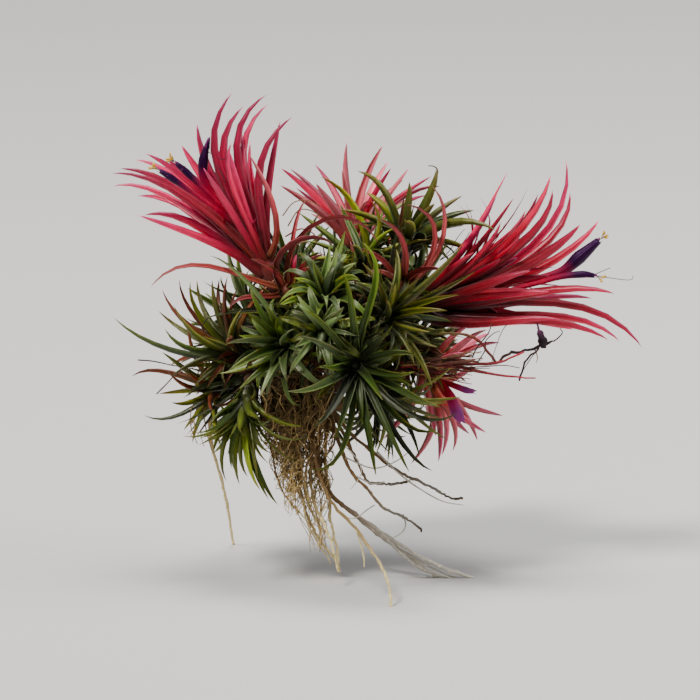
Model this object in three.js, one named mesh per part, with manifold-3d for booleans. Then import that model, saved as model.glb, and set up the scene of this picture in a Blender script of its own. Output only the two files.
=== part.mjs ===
// A clump of air plants in bloom, picked and set down on the ends of its longer roots.
// Leaves are laid out in millimetres as [across, up, front] and the whole clump leans back by LEAN.
import * as THREE from 'three';
import { mergeVertices } from 'three/addons/utils/BufferGeometryUtils.js';
import Module from 'manifold-3d';

const wasm = await Module();
wasm.setup();

// Driving dimensions, in millimetres
const LEAN = (11 * Math.PI) / 180;
const MIDDLE_ACROSS = 0;
const MIDDLE_DEPTH = 26.7;
const FLOOR_SINK = 0.35;
const FLOOR_BLOCK = 400;
const SEAT_GAP = 0.3;
const LEAF_GAP = 0.25;
const GREEN_HALF_WIDTH = 1.8;
const BLOOM_HALF_WIDTH = 2.0;
const KEEL_SHARE = 0.62;
const THINNEST_KEEL = 0.5;
const LONG_LEAF = 46;
const SHORT_LEAF = 19;
const ROOT_SINK = 0.6;
const GOLDEN_TURN = Math.PI * (3 - Math.sqrt(5));

// Colours
const CRIMSON = '#b8324e';
const CORAL = '#d05c6a';
const BRICK = '#a14338';
const LEAF_GREEN = '#5f7a35';
const SILVER_GREEN = '#74885a';
const OLIVE = '#6b6a30';
const BARK = '#5d4330';
const ROOT_BROWN = '#6e4e30';
const ROOT_TAN = '#a98c66';
const VIOLET = '#4b2a78';
const WITHERED = '#2c1c33';
const POLLEN = '#d9a93c';
const STRAW = '#6b4c38';

// ---- small vector sums on [across, up, front] ----
const add = (a, b) => [a[0] + b[0], a[1] + b[1], a[2] + b[2]];
const sub = (a, b) => [a[0] - b[0], a[1] - b[1], a[2] - b[2]];
const scale = (a, s) => [a[0] * s, a[1] * s, a[2] * s];
const dot = (a, b) => a[0] * b[0] + a[1] * b[1] + a[2] * b[2];
const size = (a) => Math.sqrt(dot(a, a));
const unit = (a) => scale(a, 1 / Math.max(size(a), 1e-9));
const mix = (a, b, t) => add(scale(a, 1 - t), scale(b, t));
const cross = (a, b) => [
  a[1] * b[2] - a[2] * b[1],
  a[2] * b[0] - a[0] * b[2],
  a[0] * b[1] - a[1] * b[0],
];

// A repeatable draw between 0 and 1
function drawFrom(seed) {
  let state = seed >>> 0;
  return () => {
    state = (Math.imul(state, 1664525) + 1013904223) >>> 0;
    return state / 4294967296;
  };
}

// A smooth curve through its points, read at share t of its spans
function along(points, t) {
  const spans = points.length - 1;
  const i = Math.min(Math.floor(t * spans), spans - 1);
  const f = t * spans - i;
  const b = points[i];
  const c = points[i + 1];
  const a = i > 0 ? points[i - 1] : sub(scale(b, 2), c);
  const d = i + 2 <= spans ? points[i + 2] : sub(scale(c, 2), b);
  const bend = (k) =>
    0.5 *
    (2 * b[k] +
      (c[k] - a[k]) * f +
      (2 * a[k] - 5 * b[k] + 4 * c[k] - d[k]) * f * f +
      (3 * b[k] - a[k] - 3 * c[k] + d[k]) * f * f * f);
  return [bend(0), bend(1), bend(2)];
}

// Shortest distance between two straight pieces
function distanceApart(p1, q1, p2, q2) {
  const d1 = sub(q1, p1);
  const d2 = sub(q2, p2);
  const r = sub(p1, p2);
  const a = dot(d1, d1);
  const e = dot(d2, d2);
  const f = dot(d2, r);
  const c = dot(d1, r);
  const b = dot(d1, d2);
  const det = a * e - b * b;
  const hold = (v) => Math.min(Math.max(v, 0), 1);
  let s = det > 1e-9 ? hold((b * f - c * e) / det) : 0;
  let t = (b * s + f) / e;
  if (t < 0) {
    t = 0;
    s = hold(-c / a);
  } else if (t > 1) {
    t = 1;
    s = hold((b - c) / a);
  }
  return size(sub(add(p1, scale(d1, s)), add(p2, scale(d2, t))));
}

// ---- from the leaning frame to the standing one: x across, y away, z up ----
const standing = ([u, v, w]) => [
  u - MIDDLE_ACROSS,
  v * Math.sin(LEAN) - w * Math.cos(LEAN) - MIDDLE_DEPTH,
  v * Math.cos(LEAN) + w * Math.sin(LEAN) - FLOOR_SINK,
];

// One closed body from rings of equal corner counts; the last ring may be a single point
function bodyFromRings(rings) {
  const corners = rings[0].length;
  const vertices = [];
  const faces = [];
  for (const ring of rings) for (const p of ring) vertices.push(...standing(p));
  for (let i = 2; i < corners; i++) faces.push(0, i, i - 1);
  for (let r = 0; r + 1 < rings.length; r++) {
    const low = r * corners;
    const high = low + corners;
    for (let k = 0; k < corners; k++) {
      const n = (k + 1) % corners;
      if (rings[r + 1].length === 1) faces.push(low + k, low + n, high);
      else faces.push(low + k, low + n, high + n, low + k, high + n, high + k);
    }
  }
  if (rings[rings.length - 1].length > 1) {
    const last = (rings.length - 1) * corners;
    for (let i = 2; i < corners; i++) faces.push(last, last + i - 1, last + i);
  }
  return new wasm.Manifold(
    new wasm.Mesh({
      numProp: 3,
      vertProperties: new Float32Array(vertices),
      triVerts: new Uint32Array(faces),
    }),
  );
}

// Fills sealed hollows and drops loose scraps: the largest outer skin is the body
function wholeBody(body) {
  const skins = body.decompose();
  return skins.reduce((best, skin) => (skin.volume() > best.volume() ? skin : best));
}

// Joins bodies two by two into one
function fused(bodies) {
  let level = bodies;
  while (level.length > 1) {
    const next = [];
    for (let i = 0; i < level.length; i += 2)
      next.push(i + 1 < level.length ? level[i].add(level[i + 1]) : level[i]);
    level = next;
  }
  return wholeBody(level[0]);
}

// A round stem, root or tube through its points, with a radius at each point
function tube(points, radii, sides) {
  const rings = points.map((p, i) => {
    const before = points[Math.max(i - 1, 0)];
    const after = points[Math.min(i + 1, points.length - 1)];
    const ahead = unit(sub(after, before));
    const side = unit(cross(ahead, Math.abs(ahead[2]) > 0.9 ? [1, 0, 0] : [0, 0, 1]));
    const up = cross(side, ahead);
    if (radii[i] === 0) return [p];
    return Array.from({ length: sides }, (_, k) => {
      const turn = (-k / sides) * 2 * Math.PI;
      return add(p, add(scale(side, radii[i] * Math.cos(turn)), scale(up, radii[i] * Math.sin(turn))));
    });
  });
  return bodyFromRings(rings);
}

// ---- leaves ----
const LONG_SHARES = [0, 0.3, 0.58, 0.82, 1];
const MIDDLE_SHARES = [0, 0.38, 0.73, 1];
const SHORT_SHARES = [0, 0.55, 1];
// Widest just above the sunk root, then narrowing to the point
const widthShare = (t) => (t === 0 ? 0.6 : 1 - 0.18 * t - 0.62 * t * t);

// Where a leaf runs: middle points of its rings and their half-widths
function leafLine(points, halfWidth) {
  const length = size(sub(points[3], points[0]));
  const middling = length > SHORT_LEAF ? MIDDLE_SHARES : SHORT_SHARES;
  const shares = length > LONG_LEAF ? LONG_SHARES : middling;
  return {
    middles: shares.map((t) => along(points, t)),
    halves: shares.map((t) => halfWidth * widthShare(t)),
  };
}

// A keeled leaf: flat inner face towards `inner`, ridge on the outer side
function leafBody(line, inner) {
  const last = line.middles.length - 1;
  const rings = line.middles.map((p, i) => {
    if (i === last) return [p];
    const ahead = unit(sub(line.middles[i + 1], line.middles[Math.max(i - 1, 0)]));
    const facing = sub(inner, p);
    const face = unit(sub(facing, scale(ahead, dot(facing, ahead))));
    const side = cross(ahead, face);
    const half = line.halves[i];
    const keel = Math.max(half * KEEL_SHARE, THINNEST_KEEL);
    return [
      add(p, add(scale(side, half), scale(face, 0.3 * keel))),
      add(p, scale(face, -keel)),
      add(p, add(scale(side, -half), scale(face, 0.3 * keel))),
    ];
  });
  return bodyFromRings(rings);
}

// ---- keeping leaves of different rosettes clear of each other ----
const obstacles = [];
const SWAYS = [0, 2, -2, 4, -4, 6, -6, 8, -8, 10, -10, 13, -13, 16, -16, 19, -19];
const SHORTENINGS = [1, 0.85, 0.7, 0.55, 0.42];
const SWAY_SHARES = [0, 0.12, 0.5, 1];

function addObstacle(owner, a, b, radius) {
  const reach = size(sub(b, a)) / 2 + radius;
  obstacles.push({ owner, a, b, radius, middle: mix(a, b, 0.5), reach });
}

function isClear(owner, line) {
  for (let i = 0; i + 1 < line.middles.length; i++) {
    const a = line.middles[i];
    const b = line.middles[i + 1];
    const radius = Math.max(line.halves[i], THINNEST_KEEL);
    const middle = mix(a, b, 0.5);
    const reach = size(sub(b, a)) / 2 + radius + LEAF_GAP;
    for (const other of obstacles) {
      if (other.owner === owner) continue;
      if (size(sub(other.middle, middle)) > reach + other.reach) continue;
      if (distanceApart(a, b, other.a, other.b) < radius + other.radius + LEAF_GAP) return false;
    }
  }
  return true;
}

// Sways the leaf, then shortens it, until it clears every other rosette; null when it can't
function settledLeaf(owner, points, halfWidth, swayDirection) {
  for (const short of SHORTENINGS) {
    for (const sway of SWAYS) {
      const moved = points.map((p, i) => {
        const shrunk = add(points[0], scale(sub(p, points[0]), short));
        return add(shrunk, scale(swayDirection, sway * short * SWAY_SHARES[i]));
      });
      const line = leafLine(moved, halfWidth);
      if (isClear(owner, line)) {
        for (let i = 0; i + 1 < line.middles.length; i++)
          addObstacle(owner, line.middles[i], line.middles[i + 1], Math.max(line.halves[i], THINNEST_KEEL));
        return { points: moved, line, short };
      }
    }
  }
  return null;
}

// ---- rosettes and blooms ----
// heart: where the leaves join; axis: the way it faces; core: thick middle, its points and radii;
// shown: leaves as [tip, outer bend, inner bend]; fill: count, lengths and spread of the rest.
const LEFT_BLOOM = {
  name: 'left_bloom_leaves',
  colour: CRIMSON,
  heart: [-43, 124, -10],
  axis: [-0.5, 0.86, 0.05],
  core: [[[-38, 113, -10], 4], [[-42, 122, -10], 5.2], [[-53, 143, -9], 1.6]],
  halfWidth: BLOOM_HALF_WIDTH,
  shown: [
    [[-55, 188.5, 2], [-62, 168, 0], [-54, 146, -5]],
    [[-51, 184, -14], [-58.5, 166, -13], [-52.5, 146, -12]],
    [[-42, 188, -4], [-53.5, 169, -5], [-48, 143, -8]],
    [[-41.7, 185, -22], [-51, 166, -20], [-47, 142, -15]],
    [[-32, 179.5, 0], [-44.5, 161, -1], [-44, 140, -6]],
    [[-68.5, 177, -8], [-65, 161, -9], [-54, 140, -9]],
    [[-55, 169.5, 8], [-56, 158, 5], [-50, 141, 0]],
    [[-48.5, 171, -26], [-48, 157, -24], [-44, 140, -16]],
    [[-48.5, 165, 7], [-41.5, 152, 4], [-38, 138, -2]],
    [[-75, 169.5, -24], [-67, 157, -20], [-54, 139, -15]],
    [[-88, 165.5, 0], [-73, 156, -2], [-56, 139, -6]],
    [[-92.5, 163.5, -14], [-75, 155.5, -13], [-56, 137, -12]],
    [[-97.5, 159.5, 6], [-80, 154.5, 3], [-58, 138, -4]],
    [[-101, 158, -6], [-80, 153, -7], [-57, 135, -9]],
    [[-101, 153.5, -18], [-80, 149.5, -16], [-56, 132, -13]],
    [[-88.5, 142, 0], [-71, 139.5, -2], [-53, 127, -6]],
    [[-81, 164, -32], [-69, 155, -28], [-54, 139, -18]],
    [[-92, 150, -28], [-73, 145, -24], [-54, 131, -16]],
  ],
  fill: { count: 8, shortest: 38, longest: 60, narrow: 0.12, wide: 0.62, seed: 11, arch: 0.1 },
};

const RIGHT_BLOOM = {
  name: 'right_bloom_leaves',
  colour: CRIMSON,
  heart: [14, 108, -14],
  axis: [0.9, 0.42, 0.02],
  core: [[[6, 104, -14], 5], [[16, 108.5, -14], 7], [[42, 116, -12], 2]],
  halfWidth: BLOOM_HALF_WIDTH,
  shown: [
    [[46, 151, -4], [34, 131, -6], [23, 119, -10]],
    [[37, 128, 2], [30, 123, -1], [22, 116, -7]],
    [[47, 139.5, 6], [39, 127, 1], [26, 116, -6]],
    [[57, 144.5, -14], [45, 129, -14], [28, 117, -14]],
    [[66, 157.5, 0], [55, 137, -4], [34, 119, -10]],
    [[62, 151, -24], [51, 134, -22], [32, 119, -18]],
    [[66.3, 151.5, 9], [59, 135, 4], [36, 118, -5]],
    [[72, 163.5, -9], [66, 138, -10], [42, 118.5, -12]],
    [[74, 151.5, -22], [67, 134, -20], [43, 118, -16]],
    [[77, 138.5, 8], [64, 127, 3], [40, 115, -5]],
    [[85, 140.5, -15], [70, 126.5, -14], [44, 114.5, -13]],
    [[90, 112, 10], [68, 113.5, 4], [40, 109, -5]],
    [[83, 110.5, -28], [66, 111, -25], [40, 107, -19]],
    [[101, 91.5, -3], [80, 106.5, -6], [48, 109, -10]],
    [[93, 94, -16], [72, 103.5, -16], [42, 104, -15]],
    [[88, 94.5, 2], [68, 101.5, -1], [40, 103, -8]],
    [[70, 102, 12], [52, 102, 6], [32, 101, -4]],
    [[60, 100.5, -22], [48, 101.5, -21], [32, 101, -18]],
    [[58, 121, 12], [46, 117, 7], [32, 112, -3]],
    [[66, 119, -2], [52, 117, -3], [34, 112, -8]],
  ],
  fill: { count: 8, shortest: 40, longest: 62, narrow: 0.1, wide: 0.6, seed: 23, arch: 0.1 },
};

const BACK_BLOOM = {
  name: 'back_bloom_leaves',
  colour: CORAL,
  heart: [-9, 131, -36],
  axis: [-0.03, 0.96, -0.25],
  core: [[[-8, 124, -34], 3.4], [[-9, 132, -36], 4], [[-9, 143, -38], 1.4]],
  halfWidth: 1.9,
  shown: [
    [[-37, 161, -38], [-26, 152, -37], [-16, 141, -36]],
    [[-33.5, 161, -48], [-24, 153, -45], [-15, 142, -40]],
    [[-23.5, 155, -28], [-18.5, 148, -30], [-13, 140, -33]],
    [[-24, 163, -56], [-17, 153, -50], [-12, 142, -42]],
    [[-11.5, 171, -36], [-12, 156, -36], [-10.5, 143, -36]],
    [[2.5, 170, -42], [-3.5, 158, -41], [-7.5, 144, -39]],
    [[4.5, 164, -56], [-1, 154, -50], [-6, 142, -43]],
    [[12.5, 161, -30], [5, 151, -31], [-2, 141, -34]],
    [[25, 154, -42], [12, 151, -40], [0, 142, -38]],
    [[20, 151, -56], [9, 147, -50], [-1, 139, -43]],
    [[27, 134, -46], [18, 133.5, -43], [5, 133, -39]],
  ],
  fill: { count: 9, shortest: 26, longest: 40, narrow: 0.25, wide: 0.95, seed: 31, arch: 0.15 },
};

const LOWER_BLOOM = {
  name: 'lower_bloom_leaves',
  colour: CORAL,
  heart: [20, 79, -21],
  axis: [0.15, -0.97, -0.1],
  core: [[[17, 87, -20], 3.4], [[20, 78, -21], 4], [[23, 67, -21], 1.4]],
  halfWidth: 1.8,
  shown: [
    [[13, 47, -26], [20, 57.5, -25], [22.5, 69, -22]],
    [[23.5, 48, -14], [24.5, 59, -16], [23, 70, -19]],
    [[25, 50, -32], [27, 60, -29], [25, 70, -24]],
    [[38.5, 56, -18], [34, 66, -19], [26.5, 75, -20]],
    [[44, 97, -40], [36, 93, -34], [26, 84, -25]],
    [[38, 84, -30], [33, 82, -27], [26, 79, -23]],
    [[29, 52, -22], [30, 61, -22], [26, 70, -21]],
  ],
  fill: { count: 7, shortest: 24, longest: 32, narrow: 0.3, wide: 1.0, seed: 37, arch: 0.15 },
};

const LEFT_ARCHES = {
  name: 'left_arching_leaves',
  colour: BRICK,
  heart: [-34, 112, 2],
  axis: [0.1, 0.95, 0.3],
  core: [[[-33.5, 109.5, 1], 2.6], [[-34, 114, 2.5], 3], [[-34.5, 118, 3.5], 1.4]],
  halfWidth: 1.5,
  shown: [
    [[-16, 130.5, 6], [-29, 133, 7], [-38, 125, 5]],
    [[1, 130, 2], [-14, 141.5, 3], [-29.5, 134, 3]],
    [[-20, 127, 12], [-26, 124.5, 12], [-31, 119, 8]],
    [[-86, 114.5, 4], [-69, 123, 4], [-50, 118.5, 3]],
    [[-56, 106.5, 8], [-50.5, 110.5, 7], [-42, 111, 5]],
    [[-27, 148, -4], [-30, 142, -2], [-32.5, 129, 0]],
  ],
  fill: { count: 3, shortest: 14, longest: 20, narrow: 0.3, wide: 0.8, seed: 41, arch: 0.5 },
};

const RIGHT_ARCHES = {
  name: 'right_arching_leaves',
  colour: BRICK,
  heart: [9, 116, 5],
  axis: [0.3, 0.9, 0.3],
  core: [[[7, 112.5, 3.5], 2.4], [[9, 116, 5], 3], [[10.5, 119.5, 6.5], 1.4]],
  halfWidth: 1.5,
  shown: [
    [[0, 140.5, 10], [9.5, 133, 10], [11, 122, 8]],
    [[10.5, 146, 5], [22, 137, 6], [19, 123, 6]],
    [[21, 153, -2], [26, 140, 1], [21, 124, 4]],
    [[-4, 119, 12], [0.5, 120.5, 12], [5.5, 118.5, 9]],
  ],
  fill: { count: 3, shortest: 14, longest: 22, narrow: 0.3, wide: 0.9, seed: 43, arch: 0.4 },
};

const UPPER_RIGHT_ROSETTE = {
  name: 'upper_right_rosette',
  colour: LEAF_GREEN,
  heart: [11, 130, -16],
  axis: [0.4, 0.9, 0.1],
  core: [[[9.5, 127, -17], 3], [[11.5, 131, -16], 3.6], [[13, 135, -15], 1.6]],
  halfWidth: GREEN_HALF_WIDTH,
  shown: [
    [[23, 160.5, -14], [20.5, 151, -14], [15, 140, -15]],
    [[12.3, 155, -8], [12, 147, -10], [10.5, 138, -13]],
    [[33, 150, -20], [24, 144.5, -19], [17, 138, -17]],
    [[37, 144, -8], [27, 141.5, -10], [18, 137, -13]],
    [[45, 136, 2], [31, 139.5, -3], [19, 135.5, -10]],
    [[37, 140, -28], [28, 139, -25], [18, 136, -19]],
    [[22, 146.5, -2], [18, 142.5, -6], [14, 137, -12]],
    [[-7.5, 159, -10], [1.5, 153.5, -11], [7.5, 142, -14]],
    [[30, 131, -32], [24, 133, -28], [17, 132.5, -21]],
  ],
  fill: { count: 8, shortest: 20, longest: 30, narrow: 0.4, wide: 1.3, seed: 47, arch: 0.3 },
};

const TOP_ROSETTE = {
  name: 'top_rosette',
  colour: OLIVE,
  heart: [-5, 121, -14],
  axis: [-0.1, 0.98, 0.05],
  core: [[[-5, 117, -14], 3], [[-5, 121.5, -14], 3.6], [[-5, 126, -14], 1.6]],
  halfWidth: 1.7,
  shown: [
    [[-21.5, 157, -16], [-11, 149.5, -16], [-4.5, 136, -15]],
    [[-2.5, 148, -4], [1, 137, -7], [-2, 128, -11]],
    [[-30, 143.5, -18], [-22, 137.5, -17], [-12, 129, -15]],
    [[12, 148, -22], [5.5, 143, -20], [-1, 132, -17]],
    [[-14, 147, -28], [-11, 140, -24], [-7, 131, -18]],
    [[2, 145, -26], [1, 138, -23], [-2, 130, -18]],
  ],
  fill: { count: 8, shortest: 20, longest: 30, narrow: 0.4, wide: 1.3, seed: 53, arch: 0.3 },
};

const UPPER_FRONT_ROSETTE = {
  name: 'upper_front_rosette',
  colour: SILVER_GREEN,
  heart: [-20, 109, 14],
  axis: [0, 0.75, 0.66],
  core: [[[-20, 106, 11.5], 3], [[-20, 109.5, 14.5], 3.8], [[-20, 113, 17.5], 1.8]],
  halfWidth: 2.1,
  shown: [
    [[-18, 131, 12], [-19, 123, 13], [-20, 116, 14]],
    [[-12, 136, 8], [-15, 126.5, 11], [-18, 116.5, 14]],
    [[-15, 129, 19], [-16.5, 122, 19], [-18.5, 115.5, 17]],
    [[-24, 125, 22], [-23, 119.5, 21], [-21, 114, 18]],
    [[-6, 116, 27], [-10.5, 118, 25], [-16, 114, 19]],
    [[-34, 114, 24], [-29, 115.5, 23], [-23.5, 113, 18]],
    [[-9, 108, 24], [-12, 110, 22], [-16.5, 110, 18]],
    [[-32, 107, 26], [-28, 110, 24], [-23.5, 110, 18]],
    [[-28, 128, 10], [-26, 121, 12], [-22.5, 115, 14]],
  ],
  fill: { count: 8, shortest: 14, longest: 24, narrow: 0.25, wide: 1.3, seed: 59, arch: 0.5 },
};

const MIDDLE_ROSETTE = {
  name: 'middle_rosette',
  colour: SILVER_GREEN,
  heart: [-20, 98, 24],
  axis: [-0.1, 0.15, 1],
  core: [[[-20, 97.5, 20], 3], [[-20, 98, 24.5], 3.6], [[-20.5, 98.5, 29], 1.6]],
  halfWidth: 1.9,
  shown: [
    [[-33, 104, 34], [-29, 103.5, 33], [-24, 101, 29]],
    [[-12.5, 107, 33], [-14.5, 104.5, 32], [-17.5, 101, 29]],
    [[-27, 109, 31], [-25, 106, 31], [-22, 102, 29]],
    [[-31, 92, 36], [-28, 93.5, 34], [-24, 96, 29]],
  ],
  fill: { count: 10, shortest: 10, longest: 19, narrow: 0.3, wide: 1.4, seed: 61, arch: 0.6 },
};

const FRONT_ROSETTE = {
  name: 'front_rosette',
  colour: LEAF_GREEN,
  heart: [-8, 85, 26],
  axis: [0.1, 0.0, 1],
  core: [[[-8.5, 85, 20], 3.2], [[-8, 85, 26], 4], [[-7.6, 85, 29.5], 2.6]],
  halfWidth: 2.1,
  shown: [
    [[-12.5, 120, 36], [-10, 108, 36], [-8.5, 94, 31]],
    [[-6, 131.5, 28], [-0.5, 119, 31], [-5, 102, 32]],
    [[5, 97, 42], [-0.5, 94, 38], [-4.5, 89.5, 31]],
    [[-27.5, 106, 42], [-21, 101, 40], [-13.5, 92, 32]],
    [[-30, 96, 46], [-22, 93.5, 42], [-13.5, 88.5, 33]],
    [[-20, 85, 42], [-16.5, 84.3, 38], [-12, 85.3, 31]],
    [[-34, 75.5, 40], [-23, 77, 37], [-13.5, 82, 31]],
    [[-16, 57, 40], [-12.5, 67, 38], [-9.5, 78, 31]],
    [[-24, 62, 46], [-17, 69, 42], [-11.5, 79, 32]],
    [[-0.5, 43.5, 36], [-3, 57, 36], [-6.5, 76, 31]],
    [[12, 45, 44], [6, 57, 42], [-3, 76, 33]],
    [[21, 45.5, 32], [10, 55, 33], [-2, 75, 30]],
    [[30, 67.5, 44], [14, 66, 41], [-1, 77, 33]],
    [[23, 61.5, 34], [12, 62, 34], [-1, 75, 31]],
    [[24, 69.5, 54], [13, 73.5, 48], [0, 81, 34]],
    [[14, 83, 50], [6, 81.5, 44], [-3, 83.5, 33]],
    [[15, 88.5, 38], [7, 90, 36], [-2.5, 88, 31]],
    [[-26, 46, 26], [-13.5, 53, 29], [-9, 74, 29]],
    [[11, 58.5, 24], [3, 62, 27], [-5, 77, 28]],
    [[2, 72, 60], [-1, 77, 52], [-5, 82.5, 35]],
  ],
  fill: { count: 3, shortest: 16, longest: 26, narrow: 0.3, wide: 1.1, seed: 67, arch: 0.4 },
};

const RIGHT_ROSETTE = {
  name: 'right_rosette',
  colour: LEAF_GREEN,
  heart: [2, 102, 12],
  axis: [0.65, 0.35, 0.66],
  core: [[[-0.5, 100.5, 9.5], 3], [[2.5, 102.5, 12.5], 3.6], [[5.5, 104, 15.5], 1.6]],
  halfWidth: GREEN_HALF_WIDTH,
  shown: [
    [[33, 131.5, 16], [20, 117.5, 17], [9, 108, 16]],
    [[26.5, 105.5, 32], [16, 105.5, 27], [8, 104, 18]],
    [[37, 120.5, 24], [23, 112.5, 24], [10, 106, 18]],
    [[20, 97.5, 34], [14, 98.5, 28], [7, 100.5, 18]],
    [[16, 118, 26], [11, 113, 22], [6, 107, 16]],
    [[31, 111.5, 32], [20, 109.5, 28], [9, 105.5, 18]],
    [[23, 92, 24], [16, 94, 21], [7, 99, 15]],
    [[7, 116, 30], [6, 111, 26], [4, 106, 18]],
  ],
  fill: { count: 8, shortest: 20, longest: 32, narrow: 0.3, wide: 1.3, seed: 71, arch: 0.3 },
};

const FRONT_LEFT_ROSETTE = {
  name: 'front_left_rosette',
  colour: SILVER_GREEN,
  heart: [-33, 93, 14],
  axis: [-0.55, 0.1, 0.83],
  core: [[[-31, 93, 11], 3], [[-33.5, 93, 15], 3.8], [[-36, 93.5, 19], 1.8]],
  halfWidth: 2.0,
  shown: [
    [[-54.5, 84, 34], [-46, 88.5, 29], [-38, 92, 20]],
    [[-60, 82, 24], [-48, 84.5, 23], [-38, 89, 18]],
    [[-36, 104, 30], [-37, 101, 27], [-35.5, 96.5, 20]],
    [[-42, 108, 24], [-39, 103, 23], [-36, 97, 18]],
    [[-49, 104.5, 30], [-44, 101.5, 26], [-37.5, 96, 19]],
    [[-57, 93, 36], [-48, 94.5, 30], [-38.5, 94, 20]],
    [[-63.5, 126.5, 4], [-52, 119.5, 8], [-38.5, 103, 14]],
    [[-44, 73, 34], [-41, 80, 29], [-36.5, 88, 20]],
    [[-52, 76, 28], [-46, 81, 25], [-38, 88, 18]],
    [[-34, 79, 38], [-35, 84, 32], [-35, 89, 22]],
  ],
  fill: { count: 6, shortest: 16, longest: 28, narrow: 0.3, wide: 1.2, seed: 73, arch: 0.4 },
};

const LEFT_ROSETTE = {
  name: 'left_rosette',
  colour: OLIVE,
  heart: [-54, 90, -6],
  axis: [-0.72, 0.6, 0.3],
  core: [[[-51, 87.5, -7.5], 3], [[-54.5, 90.5, -6], 3.8], [[-58, 93.5, -4.5], 1.7]],
  halfWidth: GREEN_HALF_WIDTH,
  shown: [
    [[-100.5, 103.5, -4], [-81, 91.8, -4], [-63, 88, -5]],
    [[-81.5, 114, 6], [-73, 101.5, 3], [-62, 94, -3]],
    [[-77, 108, 16], [-68.5, 96, 11], [-60, 91, 0]],
    [[-75.5, 118, -14], [-70.5, 105, -12], [-61, 95, -8]],
    [[-71, 117, -4], [-68, 105, -5], [-60, 95.5, -6]],
    [[-69, 118, -24], [-66, 106, -20], [-59, 95.5, -11]],
    [[-62.5, 117.5, 6], [-61, 107, 3], [-57.5, 97, -3]],
    [[-56.5, 119, 14], [-58, 108, 10], [-56, 97, 0]],
    [[-51, 106.5, 18], [-54, 101.5, 13], [-55.5, 95.5, 2]],
    [[-80, 99, 22], [-73, 92, 16], [-62, 90, 2]],
    [[-84, 106, -24], [-74, 98, -20], [-62, 92, -10]],
    [[-66, 96, 26], [-62, 94, 19], [-58, 92, 4]],
  ],
  fill: { count: 7, shortest: 20, longest: 34, narrow: 0.3, wide: 1.3, seed: 79, arch: 0.25 },
};

const LOWER_LEFT_ROSETTE = {
  name: 'lower_left_rosette',
  colour: OLIVE,
  heart: [-60, 76, -16],
  axis: [-0.93, -0.15, 0.25],
  core: [[[-56, 77, -16.5], 3], [[-60.5, 76, -16], 3.6], [[-65, 75.3, -15], 1.6]],
  halfWidth: 1.6,
  shown: [
    [[-82, 90, -8], [-75, 85, -10], [-66, 79, -14]],
    [[-94, 80.5, -18], [-83, 83, -18], [-69, 79, -16.5]],
    [[-80, 83.5, 4], [-73.5, 77.5, -2], [-66, 75.5, -12]],
    [[-78, 71, 8], [-72, 70.5, 1], [-65.5, 73, -10]],
    [[-89, 66, -12], [-77, 65.5, -13], [-66, 71.5, -15]],
    [[-84, 74, -30], [-76, 75, -26], [-67, 76, -19]],
    [[-74, 60, -20], [-70, 65, -19], [-64.5, 71, -17]],
  ],
  fill: { count: 8, shortest: 18, longest: 27, narrow: 0.4, wide: 1.3, seed: 83, arch: 0.25 },
};

const HANGING_ROSETTE = {
  name: 'hanging_rosette',
  colour: LEAF_GREEN,
  heart: [-50, 73, 2],
  axis: [-0.2, -0.9, 0.4],
  core: [[[-49, 77, 0.5], 3], [[-50, 72.5, 2.5], 3.6], [[-51, 68, 4.5], 1.6]],
  halfWidth: 1.7,
  shown: [
    [[-57, 41, 10], [-58, 55, 9], [-53, 67, 5]],
    [[-53.5, 44, 2], [-54.5, 56, 3], [-51.5, 67, 3]],
    [[-45, 41, 14], [-47, 54, 11], [-49, 66, 5]],
    [[-37.5, 32, 6], [-45, 45, 6], [-50, 62, 4]],
    [[-62, 52, -6], [-59.5, 60, -3], [-54, 68, 1]],
    [[-48, 50, -8], [-48.5, 59, -4], [-49.5, 67, 1]],
    [[-63, 62, 16], [-59, 67, 12], [-53.5, 70, 5]],
  ],
  fill: { count: 6, shortest: 18, longest: 28, narrow: 0.3, wide: 1.2, seed: 89, arch: 0.3 },
};

const LOWER_ROSETTE = {
  name: 'lower_rosette',
  colour: LEAF_GREEN,
  heart: [4, 75, 4],
  axis: [0.5, -0.75, 0.45],
  core: [[[2, 78, 2.5], 3], [[4.5, 74.5, 4.5], 3.6], [[7, 71, 6.5], 1.6]],
  halfWidth: GREEN_HALF_WIDTH,
  shown: [
    [[16, 50, 6], [13, 60, 7], [8, 69, 6]],
    [[27, 57, 2], [19, 62, 4], [10, 70, 5]],
    [[32, 73, 14], [22, 72, 13], [11, 72.5, 8]],
    [[4, 48, 12], [5, 59, 11], [5.5, 69, 7]],
  ],
  fill: { count: 8, shortest: 18, longest: 28, narrow: 0.3, wide: 1.3, seed: 97, arch: 0.25 },
};

const BACK_LEFT_ROSETTE = {
  name: 'back_left_rosette',
  colour: LEAF_GREEN,
  heart: [-44, 99, -34],
  axis: [-0.55, 0.15, -0.82],
  core: [[[-41.5, 98.5, -31], 3], [[-44.5, 99, -35], 4], [[-47, 99.5, -39], 1.7]],
  halfWidth: GREEN_HALF_WIDTH,
  shown: [],
  fill: { count: 15, shortest: 22, longest: 36, narrow: 0.15, wide: 1.45, seed: 101, arch: 0.3 },
};

const BACK_MIDDLE_ROSETTE = {
  name: 'back_middle_rosette',
  colour: SILVER_GREEN,
  heart: [-16, 104, -42],
  axis: [0.05, 0.2, -0.98],
  core: [[[-16, 103, -38], 3], [[-16, 104, -43], 4], [[-16, 105, -48], 1.7]],
  halfWidth: 1.9,
  shown: [],
  fill: { count: 16, shortest: 22, longest: 36, narrow: 0.15, wide: 1.45, seed: 103, arch: 0.35 },
};

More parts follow.
